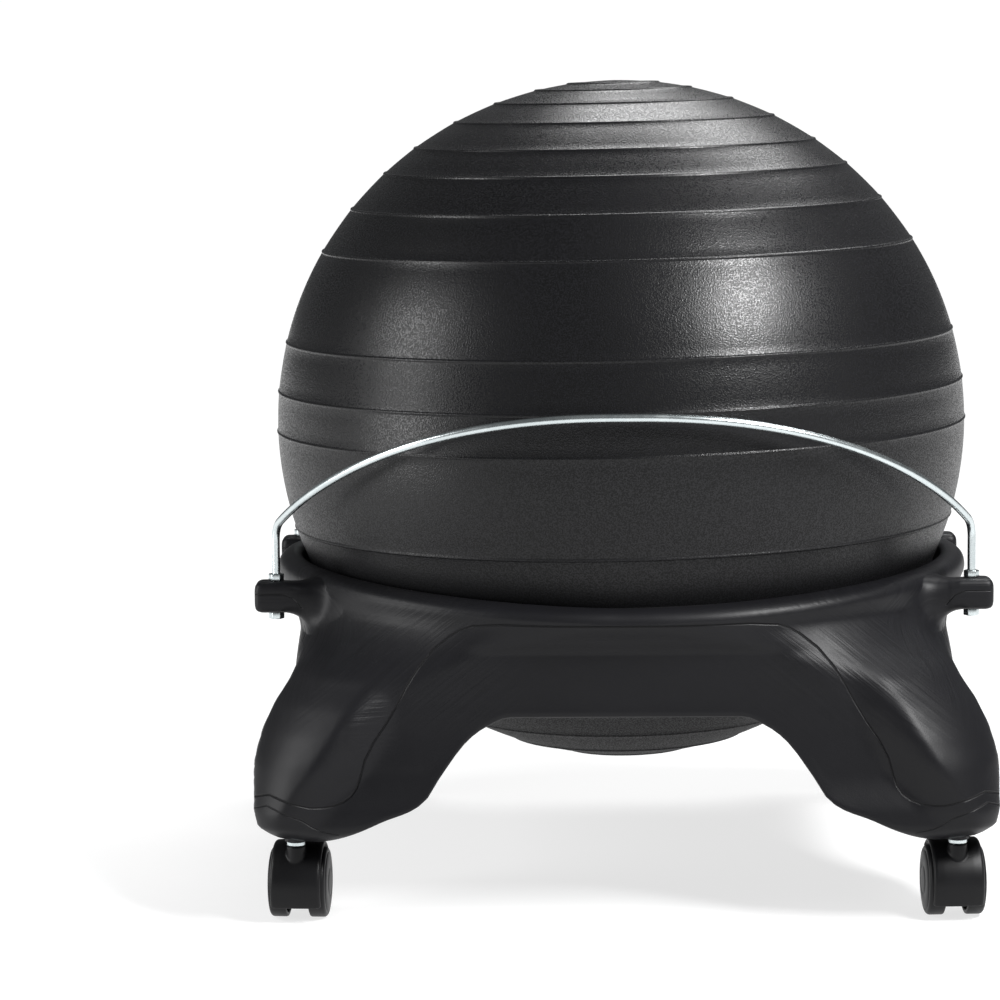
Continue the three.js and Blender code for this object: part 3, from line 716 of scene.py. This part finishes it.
def plug_shape():
    seat = BALL_RADIUS + SEAT_CLEARANCE - 0.7
    profile = [
        (0, seat - 9),
        (2.4, seat - 9),
        (3.4, seat - 6),
        (3.4, seat),
        (5.2, seat),
        (5.6, seat + 0.4),
        (5.3, seat + 1.0),
        (4.4, seat + 1.4),
        (3.4, seat + 1.35),
        (3.1, seat + 1.0),
        (2.7, seat + 1.0),
        (2.4, seat + 1.3),
        (0, seat + 1.4),
    ]
    bm = turned(profile, 40)
    return moved(bm, Matrix.Rotation(math.radians(PLUG_DEGREES - 90), 4, "X"))


add_piece("seat_ball", moved(ball_shape(), ball_place()), "ball_vinyl", "frame", ["ball"])
plug = moved(plug_shape(), ball_place())
add_piece("filling_plug", plug, "valve_plastic", "frame", ["valve_plug"])


# Moulded base


def outer_radius(height, direction):
    """How far the outside of the base reaches at a height, in a direction from its middle."""
    place = (height - BASE_FOOT) / BASE_HEIGHT
    long, short = max(direction), min(direction)
    full = FOOT_HALF_WIDTH + (RING_RADIUS - FOOT_HALF_WIDTH) * min(max(place, 0), 1)
    side = full * (1 - through(OUTSIDE_SHARES, place, 1))
    corner = side * through(OUTSIDE_SHARES, place, 2)
    middle = side - corner
    total = middle * (long + short)
    if side * short / long <= middle:
        plain = side / long
    else:
        plain = total + math.sqrt(total * total - 2 * middle * middle + corner * corner)
    flat_end = FOOT_HALF_WIDTH * through(OUTSIDE_SHARES, place, 4)
    fade = min(max((plain * short - flat_end) / RECESS_EDGE_WIDTH, 0), 1)
    fade = fade * fade * (3 - 2 * fade)
    return plain - SIDE_RECESS * through(OUTSIDE_SHARES, place, 3) * (1 - fade) / long


def underside(radius, direction):
    """The height of the arch over a place under the base."""
    offset = radius * min(direction) / ARCH_HALF_WIDTH
    return BASE_FOOT + ARCH_HEIGHT * through(ARCH_SHARES, offset, 1)


def wall_foot(direction):
    """The height at which the outside meets the arch."""
    low, high = BASE_FOOT, RIM_HEIGHT
    for _ in range(FOOT_SEARCH_STEPS):
        middle = (low + high) / 2
        if underside(outer_radius(middle, direction), direction) < middle:
            high = middle
        else:
            low = middle
    return high


def rim_height(direction):
    """The rim dips at the front and back, and rises at the left and right."""
    return RIM_HEIGHT - RIM_DIP + (RIM_DIP + RIM_LIFT) * direction[0] ** 1.5


def base_section(direction):
    """The base's wall in one direction, as (radius, height) pairs all the way round."""
    foot = wall_foot(direction)
    low, high = foot + ARCH_EDGE, rim_height(direction) - RIM_EDGE_ROUND
    bore = ball_radius_at(RIM_HEIGHT - BORE_DEPTH) + BORE_GAP
    edge = outer_radius(foot, direction) - ARCH_EDGE
    points = []
    for k in range(1, UNDERSIDE_ROWS):
        radius = bore + (edge - bore) * k / UNDERSIDE_ROWS
        points.append((radius, underside(radius, direction)))
    start = (edge, underside(edge, direction))
    end = (outer_radius(low, direction), low)
    points += [start, *curve_between(start, (outer_radius(foot, direction), foot), end, 5)]
    for k in range(1, WALL_ROWS + 1):
        height = low + (high - low) * k / WALL_ROWS
        points.append((outer_radius(height, direction), height))
    points += rim_section(points[-1], rim_height(direction))
    bore_foot = underside(bore, direction)
    bend = (bore, bore_foot + ARCH_EDGE)
    points += [(bore, RIM_HEIGHT - BORE_DEPTH), bend]
    points += curve_between(bend, (bore, bore_foot), (bore + 3, bore_foot), 3)
    return points


def rim_section(outside, crown):
    """Over the rim's crown, down beside the ball, over the shoulder and the seat."""
    inside = ball_radius_at(crown - RIM_ROUND) + RIM_GAP
    seat_top = RIM_HEIGHT - SEAT_DEPTH
    peak = (inside + RIM_ROUND + 1.5, crown)
    points = curve_between(outside, (outside[0] - 0.5, crown - 1.5), peak, 12)
    points += curve_between(peak, (inside, crown), (inside, crown - RIM_ROUND), 6)
    for k in range(1, 8):
        height = crown - RIM_ROUND + (seat_top + 4 - crown + RIM_ROUND) * k / 7
        points.append((ball_radius_at(height) + RIM_GAP, height))
    shoulder = (ball_radius_at(seat_top) + SEAT_GAP, seat_top)
    points += curve_between(points[-1], (shoulder[0] + 1, seat_top + 2.4), shoulder, 4)
    for k in (1, 2, 3):
        height = seat_top - SEAT_BAND * k / 3
        points.append((ball_radius_at(height) + SEAT_GAP, height))
    return points


def column_angle(angle):
    """Draws the columns closer together at the corners."""
    return angle + COLUMN_PULL * math.sin(4 * angle)


def base_body():
    """The base without its lugs: a ring of columns drawn round every section."""
    bm = bmesh.new()
    ring = bmesh.ops.create_circle(bm, segments=COLUMNS, radius=1)["verts"]
    angles = [column_angle(2 * math.pi * k / COLUMNS) for k in range(COLUMNS)]
    sections = [base_section((abs(math.cos(a)), abs(math.sin(a)))) for a in angles]
    ring.sort(key=lambda v: math.atan2(v.co.y, v.co.x) % (2 * math.pi))
    first = list(bm.edges)
    edges = first
    order = {v: k for k, v in enumerate(ring)}
    for row in range(len(sections[0])):
        if row:
            before = dict(order)
            drawn = bmesh.ops.extrude_edge_only(bm, edges=edges)["geom"]
            edges = [e for e in drawn if isinstance(e, bmesh.types.BMEdge)]
            fresh = {v for e in edges for v in e.verts}
            order = {}
            for v in fresh:
                beside = (e.other_vert(v) for e in v.link_edges)
                order[v] = next(before[u] for u in beside if u in before)
        for v, k in order.items():
            radius, height = sections[k][row]
            v.co = (radius * math.cos(angles[k]), radius * math.sin(angles[k]), height)
    bmesh.ops.bridge_loops(bm, edges=first + edges)
    bmesh.ops.recalc_face_normals(bm, faces=bm.faces)
    return bm


def lug_shape():
    """The lug of the front right corner, with the web under it that runs into the base."""
    end, root = POST_X + LUG_END, POST_X - LUG_DEPTH
    middle = ((end + root) / 2, 0, (LUG_TOP + LUG_BOTTOM) / 2)
    block = box((end - root, LUG_WIDTH, LUG_TOP - LUG_BOTTOM), middle)
    rounded(block, list(block.edges), LUG_ROUND, 5)
    outline = [(root, WEB_TOP), (root, WEB_FOOT), WEB_CORNER]
    outline += curve_between(WEB_CORNER, (WEB_BEND, LUG_BOTTOM), (WEB_END, LUG_BOTTOM + 0.4), 10)
    outline += [(WEB_END, WEB_TOP)]
    web = block_from(outline, LUG_WIDTH - 1)
    quarter_turn = Matrix.Rotation(-math.pi / 2, 3, "Z")
    bmesh.ops.rotate(web, cent=(0, 0, 0), matrix=quarter_turn, verts=web.verts)
    for shape in (block, web):
        for vert in shape.verts:
            if vert.co.x < root + 5:
                vert.co.x += LUG_SLANT * vert.co.y
    lug = remeshed(combined(block, [web]), LUG_CELL, 5)
    return moved(lug, Matrix.Translation((0, -POST_Y, 0)))


def blended_lug(wall):
    """The lug with the piece of wall behind it, the inner corner between them rounded."""
    block = box(BLEND_BLOCK, BLEND_BLOCK_PLACE)
    joined = combined(combined(block, kept=[wall]), [lug_shape()])

    def is_crease(edge):
        if not edge.is_manifold or edge.is_convex or edge.calc_face_angle(0) <= CREASE_ANGLE:
            return False
        corner = edge.verts[0].co
        return abs(corner.y + POST_Y) < CREASE_BAND and corner.x > CREASE_START

    seam = {v for e in joined.edges if is_crease(e) for v in e.verts}
    tree = KDTree(len(seam))
    for k, vert in enumerate(seam):
        tree.insert(vert.co, k)
    tree.balance()
    skin = remeshed(joined, BLEND_CELL, 2)
    gaps = [(tree.find(v.co)[2], v) for v in skin.verts]
    for share in BLEND_SHARES:
        smoothed(skin, [v for gap, v in gaps if gap < BLEND_REACH * share], BLEND_PASSES)
    skin.normal_update()
    for gap, v in gaps:
        on_lug = v.co.x > POST_X - LUG_KEPT and abs(v.co.y + POST_Y) < LUG_WIDTH / 2 + 1
        if not on_lug:
            v.co -= v.normal * BLEND_SINK * min(max((gap / BLEND_REACH - 0.5) * 2, 0), 1)
    return skin


def base_shape():
    """The whole base with its bolt holes and the holes for the casters' sockets."""
    body = base_body()
    lug = blended_lug(body.copy())
    lugs, cuts = [], []
    for x, y in CORNERS.values():
        copy = copied(lug, Matrix.Diagonal((x, -y, 1, 1)))
        bmesh.ops.recalc_face_normals(copy, faces=copy.faces)
        lugs.append(copy)
        post = Matrix.Translation((x * POST_X, y * POST_Y, 0))
        cuts.append(moved(rod(BOLT_HOLE, *BOLT_HOLE_SPAN, 24), post))
        foot = Matrix.Translation((x * CASTER_SPREAD, y * CASTER_SPREAD, 0))
        cuts.append(moved(rod(SOCKET_HOLE, *SOCKET_HOLE_SPAN, 32), foot))
    return combined(body, lugs, cuts)


add_piece("moulded_base", base_shape(), "base_plastic", "frame", ["base_shell"])


# Support bars


def bar_point(share):
    """A point on the bar's arc over the ball: 0 at its middle, -1 and 1 over the posts."""
    angle = math.atan2(POST_X, POST_Y) * abs(share)
    spring = math.sin(math.pi / 2 * abs(share)) ** 1.5
    radius = BAR_REACH + (math.hypot(POST_X, POST_Y) - BAR_REACH) * spring
    x, y = math.copysign(radius * math.sin(angle), share), -radius * math.cos(angle)
    return Vector((x, y, BAR_BEND_HEIGHT + BAR_RISE * (-y - POST_Y) / (BAR_REACH - POST_Y)))


def bar_stations():
    """The bar's whole line, from one lug up, over the ball and down to the other."""
    steps = BAR_HALF_STEPS
    arc = [bar_point(k / steps) for k in range(-steps, steps + 1)]

    def bend(corner, inward):
        below = corner - Vector((0, 0, BAR_BEND_RADIUS))
        along = corner + (inward - corner).normalized() * BAR_BEND_RADIUS
        curved = [Vector(p) for p in curve_between(below, corner, along, 10)]
        foot = Vector((corner.x, corner.y, BAR_FOOT))
        return [foot, foot + Vector((0, 0, 20)), below, *curved]

    start = bend(arc[0], arc[1])
    end = bend(arc[-1], arc[-2])[::-1]
    clear = BAR_BEND_CLEAR
    middle = [p for p in arc if (p - arc[0]).length > clear and (p - arc[-1]).length > clear]
    return [*start, *middle, *end]


def swept(stations, radius, sides):
    """A round bar along a line of stations."""
    bm = bmesh.new()
    bmesh.ops.create_circle(bm, segments=sides, radius=radius)
    edges = list(bm.edges)
    caps = [list(edges)]
    turn, heading, place = Quaternion(), Vector((0, 0, 1)), Vector()
    for k, station in enumerate(stations):
        ahead = stations[min(k + 1, len(stations) - 1)] - stations[max(k - 1, 0)]
        turn = heading.rotation_difference(ahead.normalized())
        heading = ahead.normalized()
        if k:
            drawn = bmesh.ops.extrude_edge_only(bm, edges=edges)["geom"]
            edges = [e for e in drawn if isinstance(e, bmesh.types.BMEdge)]
        verts = list({v for e in edges for v in e.verts})
        step = Matrix.Translation(station) @ turn.to_matrix().to_4x4() @ Matrix.Translation(-place)
        bmesh.ops.transform(bm, matrix=step, verts=verts)
        place = station
    caps.append(edges)
    for edge_ring in caps:
        bmesh.ops.edgeloop_fill(bm, edges=edge_ring)
    bmesh.ops.recalc_face_normals(bm, faces=bm.faces)
    return bm


def nut_shape(low):
    """A hexagon nut with chamfered corners and a hole for the bar."""
    bm = bmesh.new()
    radius = NUT_ACROSS_FLATS / math.sqrt(3)
    bmesh.ops.create_cone(
        bm, cap_ends=True, segments=6, radius1=radius, radius2=radius, depth=NUT_HEIGHT
    )
    turn = Matrix.Rotation(math.radians(30), 3, "Z")
    bmesh.ops.rotate(bm, cent=(0, 0, 0), matrix=turn, verts=bm.verts)
    rounded(bm, list(bm.edges), NUT_CHAMFER, 3)
    caps = [f for f in bm.faces if abs(f.normal.z) > 0.99]
    bmesh.ops.inset_individual(bm, faces=caps, thickness=NUT_FACE_WIDTH)
    flat = [f for f in bm.faces if abs(f.normal.z) > 0.99]
    caps = [f for f in flat if f.calc_center_median().xy.length < 0.1]
    rims = [e for f in caps for e in f.edges]
    bmesh.ops.delete(bm, geom=caps, context="FACES_ONLY")
    bmesh.ops.bridge_loops(bm, edges=rims)
    bmesh.ops.recalc_face_normals(bm, faces=bm.faces)
    return moved(bm, Matrix.Translation((0, 0, low + NUT_HEIGHT / 2)))


for side, turn in (("front", 0), ("rear", math.pi)):
    bar = swept(bar_stations(), BAR_RADIUS, BAR_SIDES)
    shape = moved(bar, Matrix.Rotation(turn, 4, "Z"))
    add_piece(f"{side}_bar", shape, "zinc_steel", "frame", [f"{side}_support_bar"])
for place, (x, y) in CORNERS.items():
    post = Matrix.Translation((x * POST_X, y * POST_Y, 0))
    upper = moved(nut_shape(LUG_TOP + SEAT_CLEARANCE), post)
    lower = moved(nut_shape(LUG_BOTTOM - SEAT_CLEARANCE - NUT_HEIGHT), post)
    add_piece(f"top_nut_{place}", upper, "zinc_steel", "frame", [f"upper_nut_{place}"])
    add_piece(f"under_nut_{place}", lower, "zinc_steel", "frame", [f"lower_nut_{place}"])


# Casters


def laid_across(bm, y, z):
    """Turns a shape made about the Z axis to lie along X, through a place beside it."""
    return moved(bm, Matrix.Translation((0, y, z)) @ Matrix.Rotation(math.pi / 2, 4, "Y"))


def on_axle(bm):
    return laid_across(bm, TRAIL, WHEEL_RADIUS)


def beside_axle(radius, degrees):
    """The (y, z) place at a distance and an angle from the axle."""
    angle = math.radians(degrees)
    return TRAIL + radius * math.cos(angle), WHEEL_RADIUS + radius * math.sin(angle)


def swung(section, start, end, steps):
    """A closed section of (x, radius) pairs swung round the axle between two angles in degrees."""
    bm = bmesh.new()
    face = bm.faces.new([bm.verts.new((x, *beside_axle(radius, start))) for x, radius in section])
    bmesh.ops.spin(
        bm,
        geom=[face, *face.edges, *face.verts],
        axis=(1, 0, 0),
        cent=(0, TRAIL, WHEEL_RADIUS),
        angle=math.radians(end - start),
        steps=steps,
    )
    bmesh.ops.remove_doubles(bm, verts=bm.verts, dist=1e-3)
    bmesh.ops.recalc_face_normals(bm, faces=bm.faces)
    return bm


def hood_shape(locks):
    """The cover over both wheels, with the web, axle boss and stem sleeve inside it."""
    half = HOOD_WIDTH / 2
    inner = HOOD_RADIUS - HOOD_WALL
    section = [(-half, inner + 0.6), (-half, HOOD_RADIUS - 2.4), (-half + 0.7, HOOD_RADIUS - 1.2)]
    section += [(-half + 2, HOOD_RADIUS - 0.55), (-half * 0.6, HOOD_RADIUS - 0.15)]
    section += [(0, HOOD_RADIUS)]
    section += [(half * 0.6, HOOD_RADIUS - 0.15), (half - 2, HOOD_RADIUS - 0.55)]
    section += [(half - 0.7, HOOD_RADIUS - 1.2), (half, HOOD_RADIUS - 2.4), (half, inner + 0.6)]
    section += [(half - 0.6, inner), (-half + 0.6, inner)]
    cover = swung(section, HOOD_BACK_DEGREES, HOOD_FRONT_DEGREES, HOOD_STEPS)
    web = HOOD_WEB_WIDTH / 2
    wall = [(-web, 0.5), (-web, HOOD_RADIUS - 1.8), (web, HOOD_RADIUS - 1.8), (web, 0.5)]
    parts = [swung(wall, HOOD_BACK_DEGREES, HOOD_FRONT_DEGREES, HOOD_STEPS)]
    parts.append(on_axle(rod(AXLE_BOSS_RADIUS, -web, web)))
    parts.append(rod(SLEEVE_RADIUS, WHEEL_RADIUS, SLEEVE_TOP))
    if locks:
        parts += [moved(ear_shape(), Matrix.Translation((s * EAR_PLACE, 0, 0))) for s in (-1, 1)]
    holes = [rod(STEM_HOLE, 31, 60, 24), on_axle(rod(AXLE_HOLE, -20, 20, 24))]
    return remeshed(combined(cover, parts, holes), HOOD_CELL, 2)


def pivot_place():
    """Where the lever's pin stands behind the hood."""
    return beside_axle(PIVOT_RADIUS, PIVOT_DEGREES)


def ear_shape():
    """One of the ears behind the hood that hold the lock lever."""
    y, z = pivot_place()
    outline = []
    for k in range(9):
        angle = math.radians(PIVOT_DEGREES - 180 + 22.5 * k)
        outline.append((y + EAR_RADIUS * math.cos(angle), z + EAR_RADIUS * math.sin(angle)))
    for radius in (HOOD_RADIUS, HOOD_RADIUS - 3.2):
        outline.append(beside_axle(radius, HOOD_BACK_DEGREES + 6))
    return block_from(outline, EAR_WIDTH)


def lever_shape():
    """The pedal with its nose, on a pin through both ears."""
    y, z = pivot_place()
    boss = EAR_RADIUS * 0.85
    tip = boss + LEVER_LENGTH * 0.3
    outline = [(0, boss), (LEVER_LENGTH * 0.5, boss + 2.2), (LEVER_LENGTH * 0.9, tip)]
    outline += [(LEVER_LENGTH, tip - 1.3), (LEVER_LENGTH * 0.95, tip - 2.6)]
    outline += [(boss * 1.2, boss - 2.6), (boss * 0.6, -boss * 0.8), (-boss * 0.55, -boss * 1.3)]
    outline += [(-boss, -boss * 0.4), (-boss * 0.7, boss * 0.7)]
    pedal = block_from([(y + a, z + b) for a, b in outline], LEVER_WIDTH)
    rounded(pedal, [e for e in pedal.edges if e.calc_face_angle(0) > 0.5], 0.55, 3)
    pin = laid_across(rod(PIN_RADIUS, -PIN_HALF_LENGTH, PIN_HALF_LENGTH, 24), y, z)
    return combined(pedal, [pin])


def wheel_shape():
    """A wheel on the +X side of the hood: ribbed hollow towards the hood, domed disc outside."""
    profile = [(0, 10.5), (3.4, 10.5), (3.4, 0.4), (4, 0), (6, 0), (6.6, 0.5), (7.6, 8.3)]
    profile += [(20.4, 8.3), (21.6, 1), (22.2, 0.2), (23.6, 0), (24.6, 0.4), (25, 1.3)]
    profile += [(25, 9.6), (24.8, 10.7), (24.2, 11.6), (23.3, 12.2), (22, 12.5), (21.6, 12.2)]
    profile += [(21.2, 12.2), (20.8, 12.7), (16, 13.25), (11, 13.6), (10.4, 13.3), (9.8, 13.3)]
    profile += [(9.3, 13.65), (5, 13.8), (0, 13.8)]
    bm = turned(profile, 96)
    return on_axle(moved(bm, Matrix.Translation((0, 0, WHEEL_GAP / 2))))


def stem_shape():
    """The stem with its collar and the groove that clicks into the socket."""
    profile = [(0, 31), (3.6, 31), (4, 31.5), (4, 55.3), (6.2, 55.3), (6.6, 55.7), (6.6, 57.8)]
    profile += [(6.2, 58.2), (5.4, 58.2), (5.4, 82.2), (4.4, 82.6), (4.4, 84.9), (5.4, 85.2)]
    profile += [(5.2, 88), (4, 91.3), (0, 91.5)]
    return turned(profile, 48)


hoods = {False: hood_shape(False), True: hood_shape(True)}
wheel = wheel_shape()
stem = stem_shape()
lever = lever_shape()
for place, (x, y) in CORNERS.items():
    turn = x * CASTER_TURN_DEGREES if y < 0 else 180 - x * CASTER_TURN_DEGREES
    spot = Matrix.Translation((x * CASTER_SPREAD, y * CASTER_SPREAD, 0))
    spot = spot @ Matrix.Rotation(math.radians(turn), 4, "Z")
    swivel = f"swivel_{place}"
    locks = y > 0
    shape = copied(hoods[locks], spot)
    add_piece(f"hood_{place}", shape, "caster_nylon", swivel, [f"caster_hood_{place}"], 60)
    shape = copied(stem, spot)
    add_piece(f"stem_{place}", shape, "zinc_steel", "frame", [f"caster_stem_{place}"])
    flip = Matrix.Rotation(math.pi, 4, "Z")
    about = Matrix.Translation((0, TRAIL, 0)) @ flip @ Matrix.Translation((0, -TRAIL, 0))
    for side, half_turn in (("left", about), ("right", Matrix())):
        shape = copied(wheel, spot @ half_turn)
        name, body = f"disc_{side}_{place}", f"{side}_wheel_{place}"
        add_piece(name, shape, "wheel_nylon", body, [f"wheel_{side}_{place}"], 50)
    if locks:
        shape = copied(lever, spot)
        name, body = f"pedal_{place}", f"lever_{place}"
        add_piece(name, shape, "caster_nylon", body, [f"lock_lever_{place}"])

slots = {s["node"]: s["material_slot"] for s in frame["record"]["subparts"]}
for name, node in frame["nodes"].items():
    for holder in node.material_slots:
        holder.material = LOOKS[slots[name]]


# Floor, light and camera


def add_floor():
    """Pale paper that glows with painted light, dimmer near the chair and fading to white away from
    it.
    """
    bm = bmesh.new()
    bmesh.ops.create_grid(bm, x_segments=1, y_segments=1, size=30)
    bmesh.ops.translate(bm, vec=(0, 0, -FLOOR_DROP), verts=bm.verts)
    floor = made_object("floor", bm)
    paint = Paint("floor_paper", (0.52, 0.52, 0.52), 0.9, specular=0.0)
    grain = paint.noise(3, 2)
    x, y = paint.axes()[:2]
    far = (x * x + y * y).math("SQRT").ramp(0.4, 2.0)
    paint.set(
        Base_Color=paint.blend(grain, (0.31, 0.31, 0.31), (0.34, 0.34, 0.34)),
        # Painted light: the floor glows, dimmer near the chair and brighter away from it.
        Emission_Color=paint.blend(far, (0.73, 0.73, 0.73), (1, 1, 1)),
    )
    paint.shader.inputs["Emission Strength"].default_value = 1
    floor.data.materials.append(paint.material)


def add_lamp(name, place, target, size, power, roll):
    data = bpy.data.lights.new(name, "AREA")
    data.shape = "RECTANGLE"
    data.size, data.size_y = size
    data.energy = power
    lamp = bpy.data.objects.new(name, data)
    lamp.location = place
    lamp.rotation_mode = "QUATERNION"
    facing = (Vector(target) - Vector(place)).to_track_quat("-Z", "Y")
    lamp.rotation_quaternion = facing @ Quaternion((0, 0, 1), math.radians(roll))
    scene.collection.objects.link(lamp)


def add_world():
    """Soft light from all round, in front of a white backdrop."""
    world = bpy.data.worlds.new("studio")
    world.use_nodes = True
    tree = world.node_tree
    soft = tree.nodes["Background"]
    soft.inputs["Color"].default_value = WORLD_COLOUR
    soft.inputs["Strength"].default_value = WORLD_STRENGTH
    backdrop = tree.nodes.new("ShaderNodeBackground")
    backdrop.inputs["Color"].default_value = (1, 1, 1, 1)
    backdrop.inputs["Strength"].default_value = BACKDROP_STRENGTH
    seen = tree.nodes.new("ShaderNodeLightPath")
    mix = tree.nodes.new("ShaderNodeMixShader")
    tree.links.new(seen.outputs["Is Camera Ray"], mix.inputs[0])
    tree.links.new(soft.outputs[0], mix.inputs[1])
    tree.links.new(backdrop.outputs[0], mix.inputs[2])
    tree.links.new(mix.outputs[0], tree.nodes["World Output"].inputs[0])
    scene.world = world


def add_camera():
    data = bpy.data.cameras.new("camera")
    data.sensor_width = CAMERA_SENSOR
    data.lens = CAMERA_LENS
    data.clip_end = 100
    camera = bpy.data.objects.new("camera", data)
    turn = Matrix.Rotation(CAMERA_HEADING, 4, "Z")
    turn = turn @ Matrix.Rotation(math.pi / 2 - CAMERA_DIP, 4, "X")
    turn = turn @ Matrix.Rotation(CAMERA_ROLL, 4, "Z")
    camera.matrix_world = Matrix.Translation(CAMERA_PLACE) @ turn
    scene.collection.objects.link(camera)
    scene.camera = camera


add_floor()
add_world()
for name, lamp in LAMPS.items():
    add_lamp(name, *lamp)
scene.view_settings.view_transform = "Standard"
add_camera()
